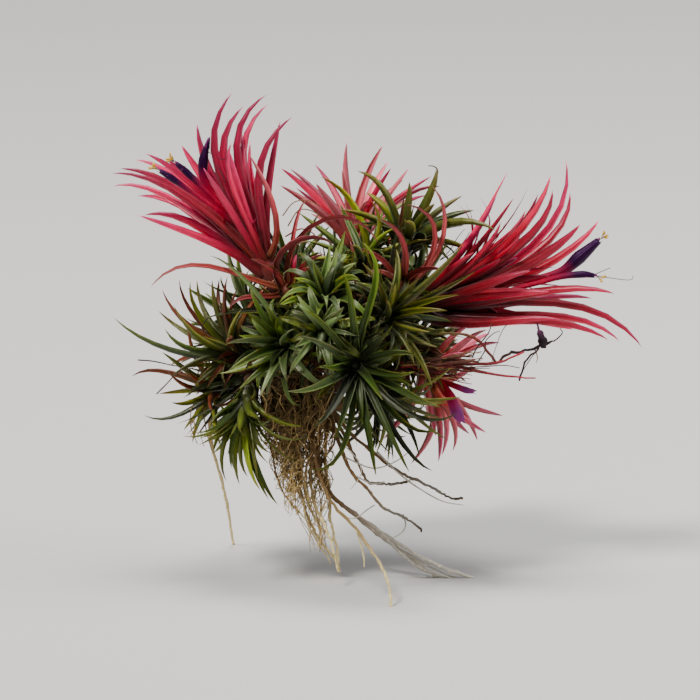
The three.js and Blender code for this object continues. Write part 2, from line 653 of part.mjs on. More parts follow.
const BACK_RIGHT_ROSETTE = {
  name: 'back_right_rosette',
  colour: LEAF_GREEN,
  heart: [12, 94, -40],
  axis: [0.5, -0.05, -0.86],
  core: [[[10, 94.5, -37], 3], [[12.5, 94, -41], 4], [[15, 93.8, -45], 1.7]],
  halfWidth: GREEN_HALF_WIDTH,
  shown: [],
  fill: { count: 15, shortest: 20, longest: 33, narrow: 0.15, wide: 1.4, seed: 107, arch: 0.3 },
};

const BACK_LOW_ROSETTE = {
  name: 'back_low_rosette',
  colour: OLIVE,
  heart: [-26, 78, -34],
  axis: [-0.15, -0.45, -0.88],
  core: [[[-25.5, 80, -30.5], 3], [[-26, 78, -34.5], 3.8], [[-26.6, 76, -38.5], 1.7]],
  halfWidth: 1.7,
  shown: [],
  fill: { count: 15, shortest: 20, longest: 34, narrow: 0.15, wide: 1.4, seed: 109, arch: 0.3 },
};

const BACK_UPPER_LEFT_ROSETTE = {
  name: 'back_upper_left_rosette',
  colour: LEAF_GREEN,
  heart: [-31, 117, -34],
  axis: [-0.35, 0.45, -0.82],
  core: [[[-30, 115.5, -31], 2.8], [[-31.2, 117.2, -34.6], 3.6], [[-32.6, 119, -38], 1.6]],
  halfWidth: 1.7,
  shown: [],
  fill: { count: 12, shortest: 17, longest: 27, narrow: 0.2, wide: 1.4, seed: 113, arch: 0.3 },
};

const BACK_UPPER_RIGHT_ROSETTE = {
  name: 'back_upper_right_rosette',
  colour: OLIVE,
  heart: [13, 113, -38],
  axis: [0.45, 0.35, -0.82],
  core: [[[11.5, 111.8, -35], 2.8], [[13.2, 113.2, -38.6], 3.6], [[15, 114.6, -42], 1.6]],
  halfWidth: 1.7,
  shown: [],
  fill: { count: 12, shortest: 17, longest: 27, narrow: 0.2, wide: 1.4, seed: 127, arch: 0.3 },
};

const UNDER_ROSETTE = {
  name: 'under_rosette',
  colour: LEAF_GREEN,
  heart: [0, 70, -26],
  axis: [0.3, -0.8, -0.5],
  core: [[[-1.2, 73.5, -24], 2.8], [[0.2, 69.5, -26.4], 3.6], [[1.7, 65.5, -29], 1.6]],
  halfWidth: 1.7,
  shown: [],
  fill: { count: 12, shortest: 16, longest: 26, narrow: 0.2, wide: 1.3, seed: 137, arch: 0.3 },
};

const ROSETTES = [
  LEFT_BLOOM,
  RIGHT_BLOOM,
  BACK_BLOOM,
  LOWER_BLOOM,
  LEFT_ARCHES,
  RIGHT_ARCHES,
  FRONT_ROSETTE,
  UPPER_RIGHT_ROSETTE,
  TOP_ROSETTE,
  UPPER_FRONT_ROSETTE,
  MIDDLE_ROSETTE,
  RIGHT_ROSETTE,
  FRONT_LEFT_ROSETTE,
  LEFT_ROSETTE,
  LOWER_LEFT_ROSETTE,
  HANGING_ROSETTE,
  LOWER_ROSETTE,
  BACK_LEFT_ROSETTE,
  BACK_MIDDLE_ROSETTE,
  BACK_RIGHT_ROSETTE,
  BACK_LOW_ROSETTE,
  BACK_UPPER_LEFT_ROSETTE,
  BACK_UPPER_RIGHT_ROSETTE,
  UNDER_ROSETTE,
];

// ---- woody stem: limbs that end in a socket under each rosette ----
const STEM_LIMBS = [
  { points: [[-16, 74.8, -10.5], [-15, 92, -13], [-13, 108, -15]], radii: [4.2, 5, 3.5] },
  { points: [[-15, 92, -13], [-30, 88, -14], [-47, 84, -15]], radii: [4.2, 4, 3] },
  { points: [[-14, 96, -13], [-4, 97, -16], [6, 96, -20]], radii: [4.2, 3.8, 3] },
];
const STEM_ARMS = [
  { from: [-31, 88.5, -14], to: LEFT_BLOOM, bend: [-34, 101, -14] },
  { from: [-4, 97, -16], to: RIGHT_BLOOM, bend: [0, 101, -15] },
  { from: [-13, 107, -15], to: BACK_BLOOM, bend: [-10, 117, -27] },
  { from: [5, 96, -20], to: LOWER_BLOOM, bend: [12, 92, -21] },
  { from: [-28, 89, -13], to: LEFT_ARCHES, bend: [-31, 101, -4] },
  { from: [-10, 97, -14], to: RIGHT_ARCHES, bend: [0, 107, -4] },
  { from: [-14, 90, -12], to: FRONT_ROSETTE, bend: [-11, 87, 5] },
  { from: [-13, 107, -15], to: UPPER_RIGHT_ROSETTE, bend: [0, 118, -20] },
  { from: [-13, 107, -15], to: TOP_ROSETTE, bend: [-9, 112, -15] },
  { from: [-14, 101, -13], to: UPPER_FRONT_ROSETTE, bend: [-18, 104, 0] },
  { from: [-16, 93, -12], to: MIDDLE_ROSETTE, bend: [-20, 96, 6] },
  { from: [-10, 97, -14], to: RIGHT_ROSETTE, bend: [-4, 99, -2] },
  { from: [-28, 89, -13], to: FRONT_LEFT_ROSETTE, bend: [-29, 91, 0] },
  { from: [-42, 85.5, -14.5], to: LEFT_ROSETTE, bend: [-46, 86, -10] },
  { from: [-46, 84.5, -15], to: LOWER_LEFT_ROSETTE, bend: [-51, 79.5, -17] },
  { from: [-42, 85.5, -14.5], to: HANGING_ROSETTE, bend: [-46, 81, -6] },
  { from: [-14, 84, -12], to: LOWER_ROSETTE, bend: [-4, 80, -4] },
  { from: [-31, 88.5, -14], to: BACK_LEFT_ROSETTE, bend: [-36, 94, -24] },
  { from: [-14, 98, -13], to: BACK_MIDDLE_ROSETTE, bend: [-16, 101, -28] },
  { from: [5, 96, -20], to: BACK_RIGHT_ROSETTE, bend: [7, 95, -30] },
  { from: [-20, 89, -13], to: BACK_LOW_ROSETTE, bend: [-24, 84, -23] },
  { from: [-14, 104, -14.5], to: BACK_UPPER_LEFT_ROSETTE, bend: [-26, 111, -22] },
  { from: [4, 96, -19.5], to: BACK_UPPER_RIGHT_ROSETTE, bend: [8, 107, -28] },
  { from: [-15, 82, -12], to: UNDER_ROSETTE, bend: [-5, 79, -18] },
];
const ARM_RADII = [2.6, 2.2, 2, 1.8];
const NECK_LENGTH = 3.5;
const CORE_SIDES = 5;

const coreBody = (rosette) =>
  tube(rosette.core.map((ring) => ring[0]), rosette.core.map((ring) => ring[1]), CORE_SIDES);

// The last stretch of an arm runs straight at the underside of its rosette and stops just short
function armPoints({ from, bend, to }) {
  const seat = to.core[0][0];
  const ahead = unit(sub(to.core[1][0], seat));
  return [from, bend, sub(seat, scale(ahead, NECK_LENGTH)), sub(seat, scale(ahead, SEAT_GAP))];
}

function stemBody() {
  const wood = STEM_LIMBS.map((limb) => tube(limb.points, limb.radii, 5));
  for (const arm of STEM_ARMS) wood.push(tube(armPoints(arm), ARM_RADII, 3));
  return fused(wood);
}

function blockStem() {
  for (const limb of STEM_LIMBS)
    for (let i = 0; i < 2; i++)
      addObstacle('woody_stem', limb.points[i], limb.points[i + 1], Math.max(limb.radii[i], limb.radii[i + 1]));
  for (const arm of STEM_ARMS) {
    const points = armPoints(arm);
    addObstacle('woody_stem', points[0], points[1], ARM_RADII[0]);
    addObstacle('woody_stem', points[1], points[2], ARM_RADII[1]);
  }
  for (const rosette of ROSETTES)
    for (let i = 0; i < 2; i++)
      addObstacle(rosette.name, rosette.core[i][0], rosette.core[i + 1][0], rosette.core[1][1]);
}

// ---- roots ----
const ROOT_SIDES = 3;
const ROOT_CROWN = { points: [[-44, 73.5, -8], [-31, 71, -9], [-13, 70.8, -9.5]], radii: [2.4, 3.4, 3.2] };
const TANGLE = { count: 9, seed: 131, steps: 5, radius: 0.75, tipRadius: 0.45 };
const TANGLE_TOP = { left: -43, right: -18, height: 71.5, back: -9.5, front: -7 };
const TANGLE_END = { left: -35, right: -24, highest: 46, lowest: 27, back: -14, front: 4 };
const HANGING_ROOTS = [
  [[-28, 70, -6], [-30, 52, -6], [-28, 34, -6], [-24, 22, -10], [-18, 13, -14], [-14, 6, -18]],
  [[-22, 70.5, -6], [-26, 50, -3], [-24, 34, -2], [-20, 23, -1], [-16, 13, 0]],
  [[-18, 70, -6], [-20, 50, -8], [-18, 35, -10], [-17, 24, -12], [-14.5, 9, -14]],
  [[-24, 70.5, -6.5], [-24, 52, 4], [-19, 36, 9], [-8, 23, 17], [1, 10, 25], [4, 2, 28], [5, -6.3, 30.5]],
  [[-20, 70, -7], [-22, 44, -8], [-10, 29, -9], [2, 21, -11], [18, 11.3, -15], [37, 3.2, -17]],
  [[-26, 70, -7], [-24, 46, -12], [-12, 31, -15], [4, 18, -16], [16, 9, -17], [26, 3, -18]],
  [[-18, 70, -6], [-13, 50, 0], [-5, 40, 3], [1, 32, 4], [6, 29, 5], [13, 25, 5], [17, 22, 5]],
  [[-18, 70, -7], [-9, 52, -8], [-4, 41, -9], [4, 40, -10], [13, 41, -12]],
  [[-19, 70, -7], [-4, 54, -14], [8, 44, -18], [18, 40, -20], [27, 34, -21], [33, 34, -22]],
  [[-32, 71, -8], [-31, 50, -14], [-28, 38, -18], [-24, 26, -24], [-16, 17, -30]],
];
const LEFT_ROOT = [
  [-49.5, 81, -19.6],
  [-53, 78, -24],
  [-61, 70, -30],
  [-64.5, 60, -37],
  [-61, 45, -49],
  [-58, 30, -61],
  [-56, 13.9, -73.5],
];
const LONG_RADIUS = 0.95;

function rootBody(points, fromRadius, toRadius, steps, wander, next) {
  const middles = [];
  const radii = [];
  for (let i = 0; i <= steps; i++) {
    const t = i / steps;
    const p = along(points, t);
    const inside = i > 0 && i < steps ? wander : 0;
    middles.push(add(p, [(next() - 0.5) * inside, (next() - 0.5) * inside, (next() - 0.5) * inside]));
    radii.push(fromRadius + (toRadius - fromRadius) * t);
  }
  return { middles, radii };
}

function tangleRoots() {
  const next = drawFrom(TANGLE.seed);
  const roots = [];
  for (let k = 0; k < TANGLE.count; k++) {
    const s = (k + 0.5) / TANGLE.count;
    const top = [
      TANGLE_TOP.left + (TANGLE_TOP.right - TANGLE_TOP.left) * s,
      TANGLE_TOP.height,
      TANGLE_TOP.back + (TANGLE_TOP.front - TANGLE_TOP.back) * next(),
    ];
    const end = [
      TANGLE_END.left + (TANGLE_END.right - TANGLE_END.left) * next(),
      TANGLE_END.lowest + (TANGLE_END.highest - TANGLE_END.lowest) * next(),
      TANGLE_END.back + (TANGLE_END.front - TANGLE_END.back) * next(),
    ];
    const swing = (next() - 0.5) * 14;
    const bow = add(mix(top, end, 0.5), [swing, 4 * next(), (next() - 0.5) * 12]);
    roots.push(rootBody([top, bow, end], TANGLE.radius, TANGLE.tipRadius, TANGLE.steps, 3, next));
  }
  return roots;
}

function longRoots() {
  const next = drawFrom(TANGLE.seed + 1);
  return HANGING_ROOTS.map((points) =>
    rootBody(points, LONG_RADIUS, 0.6, points.length + 1, 1.2, next),
  );
}

function leftRoot() {
  return rootBody(LEFT_ROOT, 1, 0.6, 9, 0.8, drawFrom(TANGLE.seed + 2));
}

function blockRoot(owner, root) {
  for (let i = 0; i + 1 < root.middles.length; i++)
    addObstacle(owner, root.middles[i], root.middles[i + 1], root.radii[i]);
}

const rootTube = (root) => tube(root.middles, root.radii, ROOT_SIDES);

// Everything under the floor is taken off, which leaves each foot a small flat spot
function aboveFloor(body) {
  const block = new THREE.BoxGeometry(FLOOR_BLOCK, FLOOR_BLOCK, FLOOR_BLOCK);
  block.translate(0, 0, -FLOOR_BLOCK / 2);
  block.deleteAttribute('normal');
  block.deleteAttribute('uv');
  const closed = mergeVertices(block);
  const below = new wasm.Manifold(
    new wasm.Mesh({
      numProp: 3,
      vertProperties: closed.attributes.position.array,
      triVerts: new Uint32Array(closed.index.array),
    }),
  );
  return body.subtract(below);
}

// ---- leaves of one rosette ----
// A leaf starts under the skin of the core, a little further along it than the leaf before
function leafRoot(rosette, k, toward) {
  const [low, mid, high] = rosette.core;
  const share = 0.15 + 0.4 * ((k * 0.618) % 1);
  const middle = along([low[0], mid[0], high[0]], share);
  const rise = share * 2;
  const radius = rise < 1 ? low[1] + (mid[1] - low[1]) * rise : mid[1] + (high[1] - mid[1]) * (rise - 1);
  return add(middle, scale(unit(sub(toward, middle)), ROOT_SINK * radius));
}

function fillLeaf(rosette, k, next) {
  const { count, shortest, longest, narrow, wide, arch } = rosette.fill;
  const axis = unit(rosette.axis);
  const side = unit(cross(axis, Math.abs(axis[1]) > 0.9 ? [1, 0, 0] : [0, 1, 0]));
  const up = cross(side, axis);
  const share = (k + 0.5) / count;
  const tilt = narrow + (wide - narrow) * Math.sqrt(share) + (next() - 0.5) * 0.16;
  const turn = k * GOLDEN_TURN + (next() - 0.5) * 0.3;
  const length = shortest + (longest - shortest) * (0.25 + 0.75 * share) * (0.8 + 0.25 * next());
  const out = add(scale(side, Math.cos(turn)), scale(up, Math.sin(turn)));
  const heading = (angle) => add(scale(axis, Math.cos(angle)), scale(out, Math.sin(angle)));
  const root = leafRoot(rosette, k, add(rosette.heart, scale(heading(tilt), length)));
  const inner = add(root, scale(heading(tilt * 0.75), length * 0.34));
  const outer = add(inner, scale(heading(tilt + arch * 0.4), length * 0.36));
  const tip = add(outer, scale(heading(tilt + arch * 1.3), length * 0.34));
  return { points: [root, inner, outer, tip], sway: out };
}

function shownLeaf(rosette, [tip, outer, inner], k) {
  const root = leafRoot(rosette, k, inner);
  return { points: [root, inner, outer, tip], sway: [0, 0, 1] };
}

function settleRosette(rosette) {
  const leaves = [];
  const next = drawFrom(rosette.fill.seed);
  const wanted = rosette.shown.map((leaf, k) => shownLeaf(rosette, leaf, k));
  for (let k = 0; k < rosette.fill.count; k++) wanted.push(fillLeaf(rosette, k, next));
  for (const leaf of wanted) {
    const settled = settledLeaf(rosette.name, leaf.points, rosette.halfWidth, leaf.sway);
    if (settled) leaves.push(settled);
  }
  return leaves;
}

function rosetteBody(rosette, leaves) {
  const reach = add(rosette.heart, scale(unit(rosette.axis), 70));
  return fused([coreBody(rosette), ...leaves.map((leaf) => leafBody(leaf.line, reach))]);
}

// ---- flowers: violet tubes, and yellow anthers on short threads past the mouth ----
const FLOWERS = [
  {
    name: 'right_flower',
    points: [[42.8, 116.3, -11.7], [58, 117.5, -7], [70, 120.5, -6], [77, 126, -6], [84.5, 132.5, -6]],
    radii: [0.7, 0.9, 1.3, 2, 1],
  },
  {
    name: 'right_low_flower',
    points: [[48, 113, -2], [60, 116, 1], [70, 118.7, 3], [78, 119.5, 4], [82.5, 119, 4]],
    radii: [0.7, 0.9, 1.1, 1.3, 0.8],
  },
  {
    name: 'left_flower',
    points: [[-56, 144, -4], [-62, 150, -3], [-65.8, 156, -2], [-66, 163, -2], [-64, 171, -2]],
    radii: [0.7, 0.9, 1.6, 1.8, 0.5],
  },
  {
    name: 'left_middle_flower',
    points: [[-52.8, 139.6, -4], [-60, 146, 1], [-67, 153, 5], [-72, 158, 6], [-76, 161.5, 6]],
    radii: [0.6, 0.8, 0.9, 1.3, 0.8],
  },
  {
    name: 'left_outer_flower',
    points: [[-58, 139.6, -1.6], [-60, 143, 5], [-71, 151, 10], [-78, 156, 11], [-82, 158.5, 11]],
    radii: [0.6, 0.8, 0.9, 1.3, 0.8],
  },
  {
    name: 'lower_flower',
    points: [[23.5, 80, -17.6], [28, 73, -11], [30.5, 67, -10], [32.5, 63.5, -10]],
    radii: [0.8, 1.5, 1.9, 1],
  },
];
const ANTHERS = [
  { name: 'right_anthers', from: [84.9, 132.8, -6], along: [0.7, 0.7, 0.1] },
  { name: 'right_low_anthers', from: [82.9, 118.9, 4], along: [0.9, -0.4, 0.1] },
  { name: 'left_middle_anthers', from: [-76.3, 161.8, 6], along: [-0.75, 0.65, 0.1] },
  { name: 'left_outer_anthers', from: [-82.4, 158.75, 11], along: [-0.85, 0.5, 0.1] },
];
const ANTHER_SPREADS = [[0.3, 0, 0.3], [-0.4, 0.4, 0.1], [0, -0.5, -0.4]];
const ANTHER_REACH = 3.4;

function anthersBody({ from, along: ahead }) {
  const knot = tube([from, add(from, scale(ahead, 1.4))], [0.6, 0.75], 4);
  const threads = ANTHER_SPREADS.map((spread) => {
    const way = unit(add(ahead, spread));
    const start = add(from, scale(ahead, 0.7));
    return tube([start, add(start, scale(way, ANTHER_REACH))], [0.4, 0.5], 3);
  });
  return fused([knot, ...threads]);
}

// ---- dried remains ----
const WITHERED_PARTS = [
  {
    points: [[61, 101, -2.2], [61.4, 98.6, -1], [62, 97, 0], [63, 94, 0], [63.3, 91.5, 0]],
    radii: [0.5, 0.6, 1.7, 2, 1.2],
  },
  {
    points: [[46, 86, 3], [50, 89.5, 2], [56, 90.5, 1], [62.5, 92.5, 0], [67, 94, -1]],
    radii: [0.5, 0.8, 0.7, 0.8, 0.4],
  },
  {
    points: [[61.5, 91.5, 0.5], [56, 86, 3], [54, 79, 4]],
    radii: [0.5, 0.45, 0.35],
  },
];
const DRY_HEAD_PARTS = [
  {
    points: [[2, 82.2, 1], [18, 84.5, 8], [25, 85.3, 9], [31, 86, 9], [35, 86, 9]],
    radii: [1, 2.2, 2.5, 1.6, 0.6],
  },
  { points: [[12, 84, 7.2], [20, 86.3, 9.4], [28, 87.8, 10.6], [36, 88.6, 11]], radii: [0.6, 0.9, 0.8, 0.4] },
  { points: [[12, 83.5, 7.2], [20, 82.9, 9.6], [29, 83.2, 11], [37, 82.6, 12]], radii: [0.6, 0.9, 0.8, 0.4] },
  { points: [[14, 84, 8], [22, 84.8, 10.8], [30, 86, 11.4], [38, 86.6, 12.6]], radii: [0.6, 0.9, 0.8, 0.4] },
  { points: [[30, 85.5, 9.5], [45, 86, 9], [56, 90, 7]], radii: [0.9, 0.8, 0.4] },
  { points: [[30, 84.5, 9.5], [45, 81.5, 11], [60, 80, 12]], radii: [0.9, 0.8, 0.4] },
  {
    points: [[20, 97, 7], [32, 97, 9], [38, 94.5, 10], [42, 90, 9.5], [45, 86, 9]],
    radii: [0.5, 0.7, 0.7, 0.7, 0.6],
  },
];
const driedBody = (parts, sides) => fused(parts.map((part) => tube(part.points, part.radii, sides)));

function blockTube(owner, points, radii) {
  for (let i = 0; i + 1 < points.length; i++)
    addObstacle(owner, points[i], points[i + 1], Math.max(radii[i], radii[i + 1]));
}

// ---- assembly ----
function meshOf(body, name, colour, roughness) {
  const made = body.getMesh();
  const geometry = new THREE.BufferGeometry();
  geometry.setAttribute('position', new THREE.BufferAttribute(new Float32Array(made.vertProperties), 3));
  geometry.setIndex(new THREE.BufferAttribute(new Uint32Array(made.triVerts), 1));
  geometry.computeVertexNormals();
  const material = new THREE.MeshStandardMaterial({ color: colour, roughness, metalness: 0 });
  const mesh = new THREE.Mesh(geometry, material);
  mesh.name = name;
  return mesh;
}

const group = new THREE.Group();
group.name = 'air_plant';

blockStem();
const longOnes = longRoots();
const tangled = tangleRoots();
const leftOne = leftRoot();
for (const root of longOnes) blockRoot('root_tangle', root);
for (const root of tangled) blockRoot('root_tangle', root);
blockRoot('left_root', leftOne);
for (const flower of FLOWERS) blockTube(flower.name, flower.points.slice(1), flower.radii.slice(1));
for (const { name, from, along: ahead } of ANTHERS)
  blockTube(name, [from, add(from, scale(ahead, 1.2 * ANTHER_REACH))], [2.2, 2.2]);
for (const part of WITHERED_PARTS) blockTube('withered_flower', part.points.slice(1), part.radii.slice(1));
for (const part of DRY_HEAD_PARTS) blockTube('dry_head', part.points, part.radii);

group.add(meshOf(stemBody(), 'woody_stem', BARK, 0.9));
const crown = tube(ROOT_CROWN.points, ROOT_CROWN.radii, 6);
const rootMass = fused([crown, ...longOnes.map(rootTube), ...tangled.map(rootTube)]);
group.add(meshOf(aboveFloor(rootMass), 'root_tangle', ROOT_BROWN, 0.95));
group.add(meshOf(aboveFloor(rootTube(leftOne)), 'left_root', ROOT_TAN, 0.95));
for (const rosette of ROSETTES) {
  const leaves = settleRosette(rosette);
  group.add(meshOf(rosetteBody(rosette, leaves), rosette.name, rosette.colour, 0.7));
}

for (const flower of FLOWERS)
  group.add(meshOf(tube(flower.points, flower.radii, 6), flower.name, VIOLET, 0.5));
for (const anthers of ANTHERS) group.add(meshOf(anthersBody(anthers), anthers.name, POLLEN, 0.8));
group.add(meshOf(driedBody(WITHERED_PARTS, 4), 'withered_flower', WITHERED, 0.8));
group.add(meshOf(driedBody(DRY_HEAD_PARTS, 4), 'dry_head', STRAW, 0.9));

export default group;
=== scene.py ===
"""Air plant: a clump of small silvery rosettes with crimson blooming heads, violet flowers and wiry roots.

Lengths in the tables are millimetres on a leaning frame: across, up and towards the viewer.
"""

import math

import bpy
import numpy as np
from bpy.props import FloatProperty, FloatVectorProperty, IntProperty, PointerProperty
from bpy.types import Operator, Panel, PropertyGroup
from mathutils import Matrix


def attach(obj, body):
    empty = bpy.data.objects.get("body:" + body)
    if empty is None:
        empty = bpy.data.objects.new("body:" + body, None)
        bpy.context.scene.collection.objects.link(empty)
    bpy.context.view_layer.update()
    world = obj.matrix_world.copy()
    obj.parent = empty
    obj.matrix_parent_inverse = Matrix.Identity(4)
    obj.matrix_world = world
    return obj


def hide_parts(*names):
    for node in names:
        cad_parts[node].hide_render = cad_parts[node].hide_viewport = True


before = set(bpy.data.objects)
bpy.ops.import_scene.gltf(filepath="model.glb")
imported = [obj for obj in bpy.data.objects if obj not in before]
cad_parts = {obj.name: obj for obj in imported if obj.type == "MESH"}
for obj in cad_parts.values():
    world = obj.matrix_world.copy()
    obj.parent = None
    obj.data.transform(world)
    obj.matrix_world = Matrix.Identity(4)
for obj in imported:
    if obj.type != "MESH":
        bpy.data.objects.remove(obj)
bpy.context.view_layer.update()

bl_info = {
    "name": "Air plant",
    "version": (1, 0, 0),
    "blender": (4, 5, 0),
    "location": "3D View > Sidebar > Air plant",
    "description": "Builds a blooming clump of air plants on its packed solids",
    "category": "Add Mesh",
}

# ---- frame and leaf measures, the same as the solids' ----
LEAN = math.radians(11)
MIDDLE_DEPTH = 26.7
FLOOR_SINK = 0.35
SEAT_GAP = 0.3
LEAF_GAP = 0.25
THINNEST_KEEL = 0.5
LONG_LEAF = 46
SHORT_LEAF = 19
ROOT_SINK = 0.6
ABOUT_A_TURN = 6.3
GOLDEN_TURN = math.pi * (3 - math.sqrt(5))
LONG_SHARES = (0, 0.3, 0.58, 0.82, 1)
MIDDLE_SHARES = (0, 0.38, 0.73, 1)
SHORT_SHARES = (0, 0.55, 1)
SWAYS = (0, 2, -2, 4, -4, 6, -6, 8, -8, 10, -10, 13, -13, 16, -16, 19, -19)
SHORTENINGS = (1, 0.85, 0.7, 0.55, 0.42)
SWAY_SHARES = np.array([0, 0.12, 0.5, 1])
ARM_RADII = (2.6, 2.2, 2, 1.8)
NECK_LENGTH = 3.5

# ---- the finer leaf ----
BLADE_CORNERS = 8
BLADE_SHARES = np.array([0, 0.08, 0.18, 0.3, 0.43, 0.56, 0.68, 0.79, 0.89, 0.96, 1])
BLADE_EDGE = 0.58
BLADE_BELLY = 0.85
BLADE_CHANNEL = 0.42
KEEL_SHARE = 0.62
PLAIN_SHAPE = (0.88, 0.5, 1.15)
ARCH_SHAPE = (0.7, 0.95, 1.25)
PLAIN_TUCKS = (0.8, 1.1, 0.12, 1.5, 0.4, 0.45, 0.7)
NO_TUCKS = (0, 1, 1, 1, 1, 1, 0)
# Tucked leaves are darkened by this share as painted shade deep in the rosette.
TUCKED_SHADE = 0.66
FACING_REACH = 70
# The rise of a leaf's tip over its seat, in millimetres, that gives the most painted light or shade.
RISE_SPAN = 28
CORE_SHARES = np.array([0, 0.08, 0.12])
# The core is darkened by this share as painted shade at the rosette's heart.
CORE_SHADE = 0.6

# ---- seeds of the draws ----
FINE_LEAF_SEED = 7000
STEM_SEED = 401
DRIED_SEED = 505
STEM_LEAF_SEED = 611
ROOT_SEED = 777
FLOWER_SEED = 919


def vec(values):
    return np.array(values, dtype=float)


class Rosette:
    """One rosette: where it sits, where its leaves go and what they look like.

    heart, axis: its middle and the way it looks. half: half the width of a leaf.
    core: the rings of its core, each a middle and a radius.
    fill: leaves set by rule: how many, least and most length, least and most tilt, seed, arch.
    arm: where its arm of the stem starts and bends.
    tones: main tone, second tone and the share of leaves in the second.
    shape: width factor, fullness and depth of the fine leaves.
    tucks: small leaves: how many, half width, least and most tilt, least and added length, least arch.
    The green rosettes give the first two as shares of the settings.
    single: leaves with a tone and a width factor of their own.
    shown: leaves that were set one by one, each as tip, outer and inner point.
    extra: the same for leaves that only the fine piece has.
    """

    def __init__(self, name, heart, axis, half, core, fill, arm, tones,
                 shape=PLAIN_SHAPE, tucks=PLAIN_TUCKS, single=None, shown=(), extra=()):
        self.name, self.half, self.fill, self.arm = name, half, fill, arm
        self.tones, self.shape, self.tucks = tones, shape, tucks
        self.heart, self.axis = vec(heart), vec(axis)
        self.rings = [vec(ring[:3]) for ring in core]
        self.radii = [ring[3] for ring in core]
        self.shown, self.extra = [[vec(row).reshape(3, 3) for row in rows] for rows in (shown, extra)]
        self.single = single or {}


